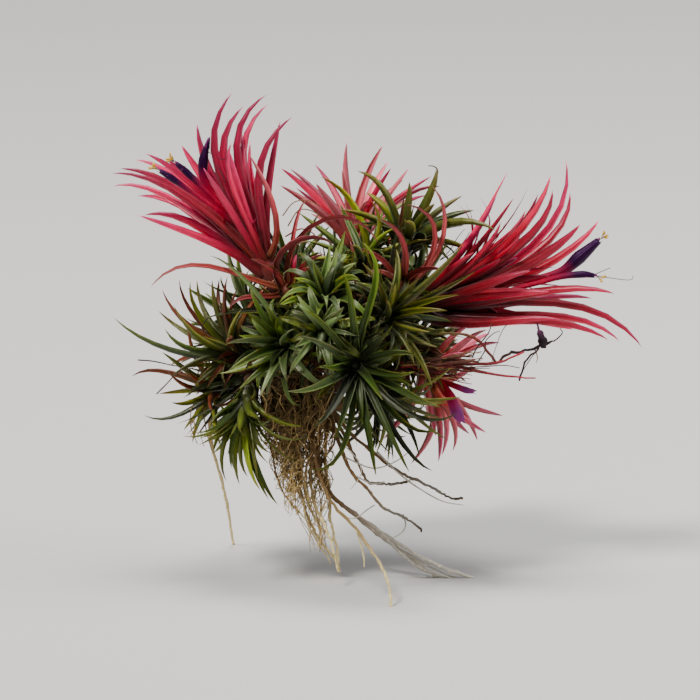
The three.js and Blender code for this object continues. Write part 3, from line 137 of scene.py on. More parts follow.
ROSETTES = [
    Rosette(
        "left_bloom_leaves", (-43, 124, -10), (-0.5, 0.86, 0.05), 2,
        [(-38, 113, -10, 4), (-42, 122, -10, 5.2), (-53, 143, -9, 1.6)], (8, 38, 60, 0.12, 0.62, 11, 0.1),
        ((-31, 88.5, -14), (-34, 101, -14)), ("crimson", "coral", 0.1), shape=(0.97, 0.9, 1.1),
        tucks=(6, 1.5, 0.12, 0.26, 0.35, 0.3, 0.2),
        single={8: ("brick", 0.62), 6: ("crimson", 0.85)},
        shown=[
            (-55, 188.5, 2, -62, 168, 0, -54, 146, -5), (-51, 184, -14, -58.5, 166, -13, -52.5, 146, -12),
            (-42, 188, -4, -53.5, 169, -5, -48, 143, -8), (-41.7, 185, -22, -51, 166, -20, -47, 142, -15),
            (-32, 179.5, 0, -44.5, 161, -1, -44, 140, -6), (-68.5, 177, -8, -65, 161, -9, -54, 140, -9),
            (-55, 169.5, 8, -56, 158, 5, -50, 141, 0), (-48.5, 171, -26, -48, 157, -24, -44, 140, -16),
            (-48.5, 165, 7, -41.5, 152, 4, -38, 138, -2), (-75, 169.5, -24, -67, 157, -20, -54, 139, -15),
            (-88, 165.5, 0, -73, 156, -2, -56, 139, -6), (-92.5, 163.5, -14, -75, 155.5, -13, -56, 137, -12),
            (-97.5, 159.5, 6, -80, 154.5, 3, -58, 138, -4), (-101, 158, -6, -80, 153, -7, -57, 135, -9),
            (-101, 153.5, -18, -80, 149.5, -16, -56, 132, -13), (-88.5, 142, 0, -71, 139.5, -2, -53, 127, -6),
            (-81, 164, -32, -69, 155, -28, -54, 139, -18), (-92, 150, -28, -73, 145, -24, -54, 131, -16),
        ],
    ),
    Rosette(
        "right_bloom_leaves", (14, 108, -14), (0.9, 0.42, 0.02), 2,
        [(6, 104, -14, 5), (16, 108.5, -14, 7), (42, 116, -12, 2)], (8, 40, 62, 0.1, 0.6, 23, 0.1),
        ((-4, 97, -16), (0, 101, -15)), ("deep_crimson", "crimson", 0.1), shape=(1.18, 0.9, 1),
        tucks=(44, 1.7, 0.1, 0.28, 0.5, 0.35, 0.2),
        single={
            0: ("crimson", 0.75), 1: ("deep_crimson", 0.7), 2: ("deep_crimson", 0.75),
            3: ("deep_crimson", 0.8), 5: ("deep_crimson", 0.8), 21: ("deep_crimson", 0.5),
            23: ("deep_crimson", 0.5), 26: ("deep_crimson", 0.45),
        },
        shown=[
            (46, 151, -4, 34, 131, -6, 23, 119, -10), (37, 128, 2, 30, 123, -1, 22, 116, -7),
            (47, 139.5, 6, 39, 127, 1, 26, 116, -6), (57, 144.5, -14, 45, 129, -14, 28, 117, -14),
            (66, 157.5, 0, 55, 137, -4, 34, 119, -10), (62, 151, -24, 51, 134, -22, 32, 119, -18),
            (66.3, 151.5, 9, 59, 135, 4, 36, 118, -5), (72, 163.5, -9, 66, 138, -10, 42, 118.5, -12),
            (74, 151.5, -22, 67, 134, -20, 43, 118, -16), (77, 138.5, 8, 64, 127, 3, 40, 115, -5),
            (85, 140.5, -15, 70, 126.5, -14, 44, 114.5, -13), (90, 112, 10, 68, 113.5, 4, 40, 109, -5),
            (83, 110.5, -28, 66, 111, -25, 40, 107, -19), (101, 91.5, -3, 80, 106.5, -6, 48, 109, -10),
            (93, 94, -16, 72, 103.5, -16, 42, 104, -15), (88, 94.5, 2, 68, 101.5, -1, 40, 103, -8),
            (70, 102, 12, 52, 102, 6, 32, 101, -4), (60, 100.5, -22, 48, 101.5, -21, 32, 101, -18),
            (58, 121, 12, 46, 117, 7, 32, 112, -3), (66, 119, -2, 52, 117, -3, 34, 112, -8),
        ],
    ),
    Rosette(
        "back_bloom_leaves", (-9, 131, -36), (-0.03, 0.96, -0.25), 1.9,
        [(-8, 124, -34, 3.4), (-9, 132, -36, 4), (-9, 143, -38, 1.4)], (9, 26, 40, 0.25, 0.95, 31, 0.15),
        ((-13, 107, -15), (-10, 117, -27)), ("rose", "coral", 0.2), shape=(0.88, 0.75, 1),
        tucks=(4, 1.3, 0.12, 0.5, 0.4, 0.3, 0.2),
        shown=[
            (-37, 161, -38, -26, 152, -37, -16, 141, -36), (-33.5, 161, -48, -24, 153, -45, -15, 142, -40),
            (-23.5, 155, -28, -18.5, 148, -30, -13, 140, -33), (-24, 163, -56, -17, 153, -50, -12, 142, -42),
            (-11.5, 171, -36, -12, 156, -36, -10.5, 143, -36),
            (2.5, 170, -42, -3.5, 158, -41, -7.5, 144, -39), (4.5, 164, -56, -1, 154, -50, -6, 142, -43),
            (12.5, 161, -30, 5, 151, -31, -2, 141, -34), (25, 154, -42, 12, 151, -40, 0, 142, -38),
            (20, 151, -56, 9, 147, -50, -1, 139, -43), (27, 134, -46, 18, 133.5, -43, 5, 133, -39),
        ],
    ),
    Rosette(
        "lower_bloom_leaves", (20, 79, -21), (0.15, -0.97, -0.1), 1.8,
        [(17, 87, -20, 3.4), (20, 78, -21, 4), (23, 67, -21, 1.4)], (7, 24, 32, 0.3, 1, 37, 0.15),
        ((5, 96, -20), (12, 92, -21)), ("salmon", "rose", 0.3), shape=(0.92, 0.75, 1.05),
        tucks=(2, 1.2, 0.12, 0.6, 0.4, 0.3, 0.2),
        shown=[
            (13, 47, -26, 20, 57.5, -25, 22.5, 69, -22), (23.5, 48, -14, 24.5, 59, -16, 23, 70, -19),
            (25, 50, -32, 27, 60, -29, 25, 70, -24), (38.5, 56, -18, 34, 66, -19, 26.5, 75, -20),
            (44, 97, -40, 36, 93, -34, 26, 84, -25), (38, 84, -30, 33, 82, -27, 26, 79, -23),
            (29, 52, -22, 30, 61, -22, 26, 70, -21),
        ],
        extra=[
            (42, 98.5, -4, 34, 94.5, -7, 26, 88, -13), (37, 101, -8, 30, 97, -9, 24, 90, -14),
            (47, 93.5, -6, 38, 92, -8, 28, 87, -14), (33, 90, 0, 28, 88.5, -4, 23, 85.5, -12),
        ],
    ),
    Rosette(
        "left_arching_leaves", (-34, 112, 2), (0.1, 0.95, 0.3), 1.5,
        [(-33.5, 109.5, 1, 2.6), (-34, 114, 2.5, 3), (-34.5, 118, 3.5, 1.4)], (3, 14, 20, 0.3, 0.8, 41, 0.5),
        ((-28, 89, -13), (-31, 101, -4)), ("brick", "coral", 0.2), ARCH_SHAPE, NO_TUCKS,
        shown=[
            (-16, 130.5, 6, -29, 133, 7, -38, 125, 5), (1, 130, 2, -14, 141.5, 3, -29.5, 134, 3),
            (-20, 127, 12, -26, 124.5, 12, -31, 119, 8), (-86, 114.5, 4, -69, 123, 4, -50, 118.5, 3),
            (-56, 106.5, 8, -50.5, 110.5, 7, -42, 111, 5), (-27, 148, -4, -30, 142, -2, -32.5, 129, 0),
        ],
    ),
    Rosette(
        "right_arching_leaves", (9, 116, 5), (0.3, 0.9, 0.3), 1.5,
        [(7, 112.5, 3.5, 2.4), (9, 116, 5, 3), (10.5, 119.5, 6.5, 1.4)], (3, 14, 22, 0.3, 0.9, 43, 0.4),
        ((-10, 97, -14), (0, 107, -4)), ("brick", "coral", 0.1), ARCH_SHAPE, NO_TUCKS,
        shown=[
            (0, 140.5, 10, 9.5, 133, 10, 11, 122, 8), (10.5, 146, 5, 22, 137, 6, 19, 123, 6),
            (21, 153, -2, 26, 140, 1, 21, 124, 4), (-4, 119, 12, 0.5, 120.5, 12, 5.5, 118.5, 9),
        ],
    ),
    Rosette(
        "front_rosette", (-8, 85, 26), (0.1, 0, 1), 2.1,
        [(-8.5, 85, 20, 3.2), (-8, 85, 26, 4), (-7.6, 85, 29.5, 2.6)], (3, 16, 26, 0.3, 1.1, 67, 0.4),
        ((-14, 90, -12), (-11, 87, 5)), ("green", "shade", 0.25), shape=(0.76, 0.45, 1.2),
        tucks=(0.8, 1.25, 0.5, 1.5, 0.3, 0.35, 0.3),
        single={0: ("green", 1), 1: ("green", 1), 4: ("silver", 1), 6: ("silver", 1)},
        shown=[
            (-12.5, 120, 36, -10, 108, 36, -8.5, 94, 31), (-6, 131.5, 28, -0.5, 119, 31, -5, 102, 32),
            (5, 97, 42, -0.5, 94, 38, -4.5, 89.5, 31), (-27.5, 106, 42, -21, 101, 40, -13.5, 92, 32),
            (-30, 96, 46, -22, 93.5, 42, -13.5, 88.5, 33), (-20, 85, 42, -16.5, 84.3, 38, -12, 85.3, 31),
            (-34, 75.5, 40, -23, 77, 37, -13.5, 82, 31), (-16, 57, 40, -12.5, 67, 38, -9.5, 78, 31),
            (-24, 62, 46, -17, 69, 42, -11.5, 79, 32), (-0.5, 43.5, 36, -3, 57, 36, -6.5, 76, 31),
            (12, 45, 44, 6, 57, 42, -3, 76, 33), (21, 45.5, 32, 10, 55, 33, -2, 75, 30),
            (30, 67.5, 44, 14, 66, 41, -1, 77, 33), (23, 61.5, 34, 12, 62, 34, -1, 75, 31),
            (24, 69.5, 54, 13, 73.5, 48, 0, 81, 34), (14, 83, 50, 6, 81.5, 44, -3, 83.5, 33),
            (15, 88.5, 38, 7, 90, 36, -2.5, 88, 31), (-26, 46, 26, -13.5, 53, 29, -9, 74, 29),
            (11, 58.5, 24, 3, 62, 27, -5, 77, 28), (2, 72, 60, -1, 77, 52, -5, 82.5, 35),
        ],
    ),
    Rosette(
        "upper_right_rosette", (11, 130, -16), (0.4, 0.9, 0.1), 1.8,
        [(9.5, 127, -17, 3), (11.5, 131, -16, 3.6), (13, 135, -15, 1.6)], (8, 20, 30, 0.4, 1.3, 47, 0.3),
        ((-13, 107, -15), (0, 118, -20)), ("moss", "shade", 0.5), shape=(1.12, 0.7, 1.1),
        shown=[
            (23, 160.5, -14, 20.5, 151, -14, 15, 140, -15), (12.3, 155, -8, 12, 147, -10, 10.5, 138, -13),
            (33, 150, -20, 24, 144.5, -19, 17, 138, -17), (37, 144, -8, 27, 141.5, -10, 18, 137, -13),
            (45, 136, 2, 31, 139.5, -3, 19, 135.5, -10), (37, 140, -28, 28, 139, -25, 18, 136, -19),
            (22, 146.5, -2, 18, 142.5, -6, 14, 137, -12), (-7.5, 159, -10, 1.5, 153.5, -11, 7.5, 142, -14),
            (30, 131, -32, 24, 133, -28, 17, 132.5, -21),
        ],
    ),
    Rosette(
        "top_rosette", (-5, 121, -14), (-0.1, 0.98, 0.05), 1.7,
        [(-5, 117, -14, 3), (-5, 121.5, -14, 3.6), (-5, 126, -14, 1.6)], (8, 20, 30, 0.4, 1.3, 53, 0.3),
        ((-13, 107, -15), (-9, 112, -15)), ("green", "olive", 0.3),
        shown=[
            (-21.5, 157, -16, -11, 149.5, -16, -4.5, 136, -15), (-2.5, 148, -4, 1, 137, -7, -2, 128, -11),
            (-30, 143.5, -18, -22, 137.5, -17, -12, 129, -15), (12, 148, -22, 5.5, 143, -20, -1, 132, -17),
            (-14, 147, -28, -11, 140, -24, -7, 131, -18), (2, 145, -26, 1, 138, -23, -2, 130, -18),
        ],
    ),
    Rosette(
        "upper_front_rosette", (-20, 109, 14), (0, 0.75, 0.66), 2.1,
        [(-20, 106, 11.5, 3), (-20, 109.5, 14.5, 3.8), (-20, 113, 17.5, 1.8)],
        (8, 14, 24, 0.25, 1.3, 59, 0.5), ((-14, 101, -13), (-18, 104, 0)), ("green", "silver", 0.35),
        shape=(1.1, 0.15, 0.95), tucks=(0.34, 1.65, 0.12, 1.2, 0.75, 0.4, 1),
        shown=[
            (-18, 131, 12, -19, 123, 13, -20, 116, 14), (-12, 136, 8, -15, 126.5, 11, -18, 116.5, 14),
            (-15, 129, 19, -16.5, 122, 19, -18.5, 115.5, 17), (-24, 125, 22, -23, 119.5, 21, -21, 114, 18),
            (-6, 116, 27, -10.5, 118, 25, -16, 114, 19), (-34, 114, 24, -29, 115.5, 23, -23.5, 113, 18),
            (-9, 108, 24, -12, 110, 22, -16.5, 110, 18), (-32, 107, 26, -28, 110, 24, -23.5, 110, 18),
            (-28, 128, 10, -26, 121, 12, -22.5, 115, 14),
        ],
    ),
    Rosette(
        "middle_rosette", (-20, 98, 24), (-0.1, 0.15, 1), 1.9,
        [(-20, 97.5, 20, 3), (-20, 98, 24.5, 3.6), (-20.5, 98.5, 29, 1.6)], (10, 10, 19, 0.3, 1.4, 61, 0.6),
        ((-16, 93, -12), (-20, 96, 6)), ("silver", "lime", 0.25), shape=(1.1, 0.15, 0.95),
        tucks=(0.34, 1.6, 0.12, 1.25, 0.85, 0.45, 1),
        shown=[
            (-33, 104, 34, -29, 103.5, 33, -24, 101, 29), (-12.5, 107, 33, -14.5, 104.5, 32, -17.5, 101, 29),
            (-27, 109, 31, -25, 106, 31, -22, 102, 29), (-31, 92, 36, -28, 93.5, 34, -24, 96, 29),
        ],
    ),
    Rosette(
        "right_rosette", (2, 102, 12), (0.65, 0.35, 0.66), 1.8,
        [(-0.5, 100.5, 9.5, 3), (2.5, 102.5, 12.5, 3.6), (5.5, 104, 15.5, 1.6)],
        (8, 20, 32, 0.3, 1.3, 71, 0.3), ((-10, 97, -14), (-4, 99, -2)), ("moss", "shade", 0.25),
        tucks=(0.55, 1.2, 0.12, 1.5, 0.45, 0.45, 0.8),
        shown=[
            (33, 131.5, 16, 20, 117.5, 17, 9, 108, 16), (26.5, 105.5, 32, 16, 105.5, 27, 8, 104, 18),
            (37, 120.5, 24, 23, 112.5, 24, 10, 106, 18), (20, 97.5, 34, 14, 98.5, 28, 7, 100.5, 18),
            (16, 118, 26, 11, 113, 22, 6, 107, 16), (31, 111.5, 32, 20, 109.5, 28, 9, 105.5, 18),
            (23, 92, 24, 16, 94, 21, 7, 99, 15), (7, 116, 30, 6, 111, 26, 4, 106, 18),
        ],
    ),
    Rosette(
        "front_left_rosette", (-33, 93, 14), (-0.55, 0.1, 0.83), 2,
        [(-31, 93, 11, 3), (-33.5, 93, 15, 3.8), (-36, 93.5, 19, 1.8)], (6, 16, 28, 0.3, 1.2, 73, 0.4),
        ((-28, 89, -13), (-29, 91, 0)), ("green", "silver", 0.4), shape=(0.95, 0.3, 1),
        tucks=(0.42, 1.5, 0.12, 1.35, 0.55, 0.45, 1),
        single={6: ("silver", 0.62)},
        shown=[
            (-54.5, 84, 34, -46, 88.5, 29, -38, 92, 20), (-60, 82, 24, -48, 84.5, 23, -38, 89, 18),
            (-36, 104, 30, -37, 101, 27, -35.5, 96.5, 20), (-42, 108, 24, -39, 103, 23, -36, 97, 18),
            (-49, 104.5, 30, -44, 101.5, 26, -37.5, 96, 19), (-57, 93, 36, -48, 94.5, 30, -38.5, 94, 20),
            (-63.5, 126.5, 4, -52, 119.5, 8, -38.5, 103, 14), (-44, 73, 34, -41, 80, 29, -36.5, 88, 20),
            (-52, 76, 28, -46, 81, 25, -38, 88, 18), (-34, 79, 38, -35, 84, 32, -35, 89, 22),
        ],
    ),
    Rosette(
        "left_rosette", (-54, 90, -6), (-0.72, 0.6, 0.3), 1.8,
        [(-51, 87.5, -7.5, 3), (-54.5, 90.5, -6, 3.8), (-58, 93.5, -4.5, 1.7)],
        (7, 20, 34, 0.3, 1.3, 79, 0.25), ((-42, 85.5, -14.5), (-46, 86, -10)), ("moss", "russet", 0.4),
        shape=(0.76, 0.45, 1.2), tucks=(0.24, 1.1, 0.12, 1.5, 0.3, 0.4, 0.8),
        single={0: ("shade", 1), 3: ("russet", 1), 9: ("shade", 1), 17: ("russet", 1)},
        shown=[
            (-100.5, 103.5, -4, -81, 91.8, -4, -63, 88, -5), (-81.5, 114, 6, -73, 101.5, 3, -62, 94, -3),
            (-77, 108, 16, -68.5, 96, 11, -60, 91, 0), (-75.5, 118, -14, -70.5, 105, -12, -61, 95, -8),
            (-71, 117, -4, -68, 105, -5, -60, 95.5, -6), (-69, 118, -24, -66, 106, -20, -59, 95.5, -11),
            (-62.5, 117.5, 6, -61, 107, 3, -57.5, 97, -3), (-56.5, 119, 14, -58, 108, 10, -56, 97, 0),
            (-51, 106.5, 18, -54, 101.5, 13, -55.5, 95.5, 2), (-80, 99, 22, -73, 92, 16, -62, 90, 2),
            (-84, 106, -24, -74, 98, -20, -62, 92, -10), (-66, 96, 26, -62, 94, 19, -58, 92, 4),
        ],
    ),
    Rosette(
        "lower_left_rosette", (-60, 76, -16), (-0.93, -0.15, 0.25), 1.6,
        [(-56, 77, -16.5, 3), (-60.5, 76, -16, 3.6), (-65, 75.3, -15, 1.6)], (8, 18, 27, 0.4, 1.3, 83, 0.25),
        ((-46, 84.5, -15), (-51, 79.5, -17)), ("olive", "russet", 0.35), shape=(0.76, 0.45, 1.2),
        tucks=(0.24, 1, 0.12, 1.5, 0.3, 0.4, 0.7),
        single={0: ("shade", 1), 1: ("russet", 1), 2: ("russet", 1), 4: ("shade", 1)},
        shown=[
            (-82, 90, -8, -75, 85, -10, -66, 79, -14), (-94, 80.5, -18, -83, 83, -18, -69, 79, -16.5),
            (-80, 83.5, 4, -73.5, 77.5, -2, -66, 75.5, -12), (-78, 71, 8, -72, 70.5, 1, -65.5, 73, -10),
            (-89, 66, -12, -77, 65.5, -13, -66, 71.5, -15), (-84, 74, -30, -76, 75, -26, -67, 76, -19),
            (-74, 60, -20, -70, 65, -19, -64.5, 71, -17),
        ],
    ),
    Rosette(
        "hanging_rosette", (-50, 73, 2), (-0.2, -0.9, 0.4), 1.7,
        [(-49, 77, 0.5, 3), (-50, 72.5, 2.5, 3.6), (-51, 68, 4.5, 1.6)], (6, 18, 28, 0.3, 1.2, 89, 0.3),
        ((-42, 85.5, -14.5), (-46, 81, -6)), ("lime", "green", 0.35),
        tucks=(0.55, 1.45, 0.1, 0.75, 0.7, 0.45, 0.25),
        shown=[
            (-57, 41, 10, -58, 55, 9, -53, 67, 5), (-53.5, 44, 2, -54.5, 56, 3, -51.5, 67, 3),
            (-45, 41, 14, -47, 54, 11, -49, 66, 5), (-37.5, 32, 6, -45, 45, 6, -50, 62, 4),
            (-62, 52, -6, -59.5, 60, -3, -54, 68, 1), (-48, 50, -8, -48.5, 59, -4, -49.5, 67, 1),
            (-63, 62, 16, -59, 67, 12, -53.5, 70, 5),
        ],
        extra=[
            (-52, 39.5, 6, -54, 53, 7, -52, 66, 5), (-49, 42.5, 0, -52, 54, 3, -50.5, 66, 4),
            (-44, 37.5, 9, -49, 50, 9, -50, 64, 5), (-41, 34, 3, -47, 48, 4, -50, 63, 3),
            (-55, 46, 12, -55, 56, 11, -52, 67, 6),
        ],
    ),
    Rosette(
        "lower_rosette", (4, 75, 4), (0.5, -0.75, 0.45), 1.8,
        [(2, 78, 2.5, 3), (4.5, 74.5, 4.5, 3.6), (7, 71, 6.5, 1.6)], (8, 18, 28, 0.3, 1.3, 97, 0.25),
        ((-14, 84, -12), (-4, 80, -4)), ("moss", "shade", 0.3), shape=(0.6, 0.4, 1.25),
        tucks=(0.3, 1, 0.12, 1.3, 0.5, 0.4, 0.6),
        shown=[
            (16, 50, 6, 13, 60, 7, 8, 69, 6), (27, 57, 2, 19, 62, 4, 10, 70, 5),
            (32, 73, 14, 22, 72, 13, 11, 72.5, 8), (4, 48, 12, 5, 59, 11, 5.5, 69, 7),
        ],
    ),
    Rosette(
        "back_left_rosette", (-44, 99, -34), (-0.55, 0.15, -0.82), 1.8,
        [(-41.5, 98.5, -31, 3), (-44.5, 99, -35, 4), (-47, 99.5, -39, 1.7)],
        (15, 22, 36, 0.15, 1.45, 101, 0.3), ((-31, 88.5, -14), (-36, 94, -24)), ("green", "silver", 0.3),
    ),
    Rosette(
        "back_middle_rosette", (-16, 104, -42), (0.05, 0.2, -0.98), 1.9,
        [(-16, 103, -38, 3), (-16, 104, -43, 4), (-16, 105, -48, 1.7)], (16, 22, 36, 0.15, 1.45, 103, 0.35),
        ((-14, 98, -13), (-16, 101, -28)), ("green", "silver", 0.3),
    ),
    Rosette(
        "back_right_rosette", (12, 94, -40), (0.5, -0.05, -0.86), 1.8,
        [(10, 94.5, -37, 3), (12.5, 94, -41, 4), (15, 93.8, -45, 1.7)], (15, 20, 33, 0.15, 1.4, 107, 0.3),
        ((5, 96, -20), (7, 95, -30)), ("green", "olive", 0.3),
    ),
    Rosette(
        "back_low_rosette", (-26, 78, -34), (-0.15, -0.45, -0.88), 1.7,
        [(-25.5, 80, -30.5, 3), (-26, 78, -34.5, 3.8), (-26.6, 76, -38.5, 1.7)],
        (15, 20, 34, 0.15, 1.4, 109, 0.3), ((-20, 89, -13), (-24, 84, -23)), ("green", "olive", 0.3),
    ),
    Rosette(
        "back_upper_left_rosette", (-31, 117, -34), (-0.35, 0.45, -0.82), 1.7,
        [(-30, 115.5, -31, 2.8), (-31.2, 117.2, -34.6, 3.6), (-32.6, 119, -38, 1.6)],
        (12, 17, 27, 0.2, 1.4, 113, 0.3), ((-14, 104, -14.5), (-26, 111, -22)), ("green", "silver", 0.3),
    ),
    Rosette(
        "back_upper_right_rosette", (13, 113, -38), (0.45, 0.35, -0.82), 1.7,
        [(11.5, 111.8, -35, 2.8), (13.2, 113.2, -38.6, 3.6), (15, 114.6, -42, 1.6)],
        (12, 17, 27, 0.2, 1.4, 127, 0.3), ((4, 96, -19.5), (8, 107, -28)), ("green", "olive", 0.3),
    ),
    Rosette(
        "under_rosette", (0, 70, -26), (0.3, -0.8, -0.5), 1.7,
        [(-1.2, 73.5, -24, 2.8), (0.2, 69.5, -26.4, 3.6), (1.7, 65.5, -29, 1.6)],
        (12, 16, 26, 0.2, 1.3, 137, 0.3), ((-15, 82, -12), (-5, 79, -18)), ("shade", "olive", 0.4),
        shape=(0.6, 0.4, 1.2), tucks=(0.15, 1, 0.12, 1.3, 0.5, 0.4, 0.6),
    ),
]
BLOOMS, ARCHES, GREENS = [
    [plant for plant in ROSETTES if plant.name.endswith(kind)]
    for kind in ("bloom_leaves", "arching_leaves", "rosette")
]

# ---- stem and roots ----
STEM_LIMBS = [
    (((-16, 74.8, -10.5), (-15, 92, -13), (-13, 108, -15)), (4.2, 5, 3.5)),
    (((-15, 92, -13), (-30, 88, -14), (-47, 84, -15)), (4.2, 4, 3)),
    (((-14, 96, -13), (-4, 97, -16), (6, 96, -20)), (4.2, 3.8, 3)),
]
LEFT_LIMB = vec(STEM_LIMBS[1][0])
ROOT_CROWN = (((-44, 73.5, -8), (-31, 71, -9), (-13, 70.8, -9.5)), (2.4, 3.4, 3.2))
TANGLE_SEED = 131
TANGLE_COUNT = 9
HANGING_ROOTS = [
    ("tan", ((-28, 70, -6), (-30, 52, -6), (-28, 34, -6), (-24, 22, -10), (-18, 13, -14), (-14, 6, -18))),
    ("tan", ((-22, 70.5, -6), (-26, 50, -3), (-24, 34, -2), (-20, 23, -1), (-16, 13, 0))),
    ("tan", ((-18, 70, -6), (-20, 50, -8), (-18, 35, -10), (-17, 24, -12), (-14.5, 9, -14))),
    ("tan", (
        (-24, 70.5, -6.5), (-24, 52, 4), (-19, 36, 9), (-8, 23, 17), (1, 10, 25), (4, 2, 28), (5, -6.3, 30.5),
    )),
    ("grey", ((-20, 70, -7), (-22, 44, -8), (-10, 29, -9), (2, 21, -11), (18, 11.3, -15), (37, 3.2, -17))),
    ("grey", ((-26, 70, -7), (-24, 46, -12), (-12, 31, -15), (4, 18, -16), (16, 9, -17), (26, 3, -18))),
    ("dark", ((-18, 70, -6), (-13, 50, 0), (-5, 40, 3), (1, 32, 4), (6, 29, 5), (13, 25, 5), (17, 22, 5))),
    ("dark", ((-18, 70, -7), (-9, 52, -8), (-4, 41, -9), (4, 40, -10), (13, 41, -12))),
    ("dark", ((-19, 70, -7), (-4, 54, -14), (8, 44, -18), (18, 40, -20), (27, 34, -21), (33, 34, -22))),
    ("tan", ((-32, 71, -8), (-31, 50, -14), (-28, 38, -18), (-24, 26, -24), (-16, 17, -30))),
]
LEFT_ROOT = (
    (-49.5, 81, -19.6), (-53, 78, -24), (-61, 70, -30), (-64.5, 60, -37), (-61, 45, -49), (-58, 30, -61),
    (-56, 13.9, -73.5),
)

# ---- flowers, anthers and dried remains ----
FLOWERS = [
    ("right_flower", (0.7, 0.9, 1.3, 2, 1),
     ((42.8, 116.3, -11.7), (58, 117.5, -7), (70, 120.5, -6), (77, 126, -6), (84.5, 132.5, -6))),
    ("right_low_flower", (0.7, 0.9, 1.1, 1.3, 0.8),
     ((48, 113, -2), (60, 116, 1), (70, 118.7, 3), (78, 119.5, 4), (82.5, 119, 4))),
    ("left_flower", (0.7, 0.9, 1.6, 1.8, 0.5),
     ((-56, 144, -4), (-62, 150, -3), (-65.8, 156, -2), (-66, 163, -2), (-64, 171, -2))),
    ("left_middle_flower", (0.6, 0.8, 0.9, 1.3, 0.8),
     ((-52.8, 139.6, -4), (-60, 146, 1), (-67, 153, 5), (-72, 158, 6), (-76, 161.5, 6))),
    ("left_outer_flower", (0.6, 0.8, 0.9, 1.3, 0.8),
     ((-58, 139.6, -1.6), (-60, 143, 5), (-71, 151, 10), (-78, 156, 11), (-82, 158.5, 11))),
    ("lower_flower", (0.8, 1.5, 1.9, 1),
     ((23.5, 80, -17.6), (28, 73, -11), (30.5, 67, -10), (32.5, 63.5, -10))),
]
ANTHER_REACH = 3.4
ANTHER_ROOM = 2.2
ANTHERS = [
    ("right_anthers", (84.9, 132.8, -6), (0.7, 0.7, 0.1)),
    ("right_low_anthers", (82.9, 118.9, 4), (0.9, -0.4, 0.1)),
    ("left_middle_anthers", (-76.3, 161.8, 6), (-0.75, 0.65, 0.1)),
    ("left_outer_anthers", (-82.4, 158.75, 11), (-0.85, 0.5, 0.1)),
]
WITHERED_PARTS = [
    (((61, 101, -2.2), (61.4, 98.6, -1), (62, 97, 0), (63, 94, 0), (63.3, 91.5, 0)), (0.5, 0.6, 1.7, 2, 1.2)),
    (((46, 86, 3), (50, 89.5, 2), (56, 90.5, 1), (62.5, 92.5, 0), (67, 94, -1)), (0.5, 0.8, 0.7, 0.8, 0.4)),
    (((61.5, 91.5, 0.5), (56, 86, 3), (54, 79, 4)), (0.5, 0.45, 0.35)),
]
DRY_HEAD_PARTS = [
    (((2, 82.2, 1), (18, 84.5, 8), (25, 85.3, 9), (31, 86, 9), (35, 86, 9)), (1, 2.2, 2.5, 1.6, 0.6)),
    (((12, 84, 7.2), (20, 86.3, 9.4), (28, 87.8, 10.6), (36, 88.6, 11)), (0.6, 0.9, 0.8, 0.4)),
    (((12, 83.5, 7.2), (20, 82.9, 9.6), (29, 83.2, 11), (37, 82.6, 12)), (0.6, 0.9, 0.8, 0.4)),
    (((14, 84, 8), (22, 84.8, 10.8), (30, 86, 11.4), (38, 86.6, 12.6)), (0.6, 0.9, 0.8, 0.4)),
    (((30, 85.5, 9.5), (45, 86, 9), (56, 90, 7)), (0.9, 0.8, 0.4)),
    (((30, 84.5, 9.5), (45, 81.5, 11), (60, 80, 12)), (0.9, 0.8, 0.4)),
    (((20, 97, 7), (32, 97, 9), (38, 94.5, 10), (42, 90, 9.5), (45, 86, 9)), (0.5, 0.7, 0.7, 0.7, 0.6)),
]


# ---- small sums ----
def unit(v):
    return v / max(float(np.sqrt(v @ v)), 1e-9)


def unit_rows(rows):
    return rows / np.maximum(np.linalg.norm(rows, axis=1, keepdims=True), 1e-9)


def draw_from(seed):
    """A repeatable draw between 0 and 1."""
    state = [seed & 0xFFFFFFFF]

    def draw():
        state[0] = (state[0] * 1664525 + 1013904223) & 0xFFFFFFFF
        return state[0] / 4294967296

    return draw


def jitter(draw):
    """Three draws about nought."""
    return vec([draw() - 0.5 for _ in range(3)])


def pick(options, draw):
    return options[int(draw() * len(options))]


def along(points, t):
    """A smooth curve through its points, read at share t of its spans."""
    spans = len(points) - 1
    i = min(int(t * spans), spans - 1)
    f = t * spans - i
    b, c = points[i], points[i + 1]
    a = points[i - 1] if i > 0 else 2 * b - c
    d = points[i + 2] if i + 2 <= spans else 2 * c - b
    square = (2 * a - 5 * b + 4 * c - d) * f * f
    return 0.5 * (2 * b + (c - a) * f + square + (3 * b - a - 3 * c + d) * f * f * f)


def through_four(points, shares):
    """One smooth cubic through four points, at shares of the way along it."""
    steps = np.linalg.norm(np.diff(points, axis=0), axis=1)
    knots = np.concatenate([[0], np.cumsum(np.sqrt(steps))])
    knots = knots / knots[-1]
    placed = np.zeros((len(shares), 3))
    for i in range(4):
        weight = np.ones(len(shares))
        for j in range(4):
            if j != i:
                weight = weight * (shares - knots[j]) / (knots[i] - knots[j])
        placed += weight[:, None] * points[i]
    return placed


def spread_evenly(rows, shares):
    """Rows of values spaced evenly along a line, read at shares of it."""
    rows = vec(rows)
    return np.stack([np.interp(shares, np.linspace(0, 1, len(rows)), column) for column in rows.T], axis=1)


def spread_axes(axis):
    """An axis made one unit long, and two directions square to it."""
    axis = unit(axis)
    side = unit(np.cross(axis, vec((1, 0, 0)) if abs(axis[1]) > 0.9 else vec((0, 1, 0))))
    return axis, side, np.cross(side, axis)


def out_from(axis, turn):
    """The way out of an axis, turned around it."""
    _, side, up = spread_axes(axis)
    return side * math.cos(turn) + up * math.sin(turn)


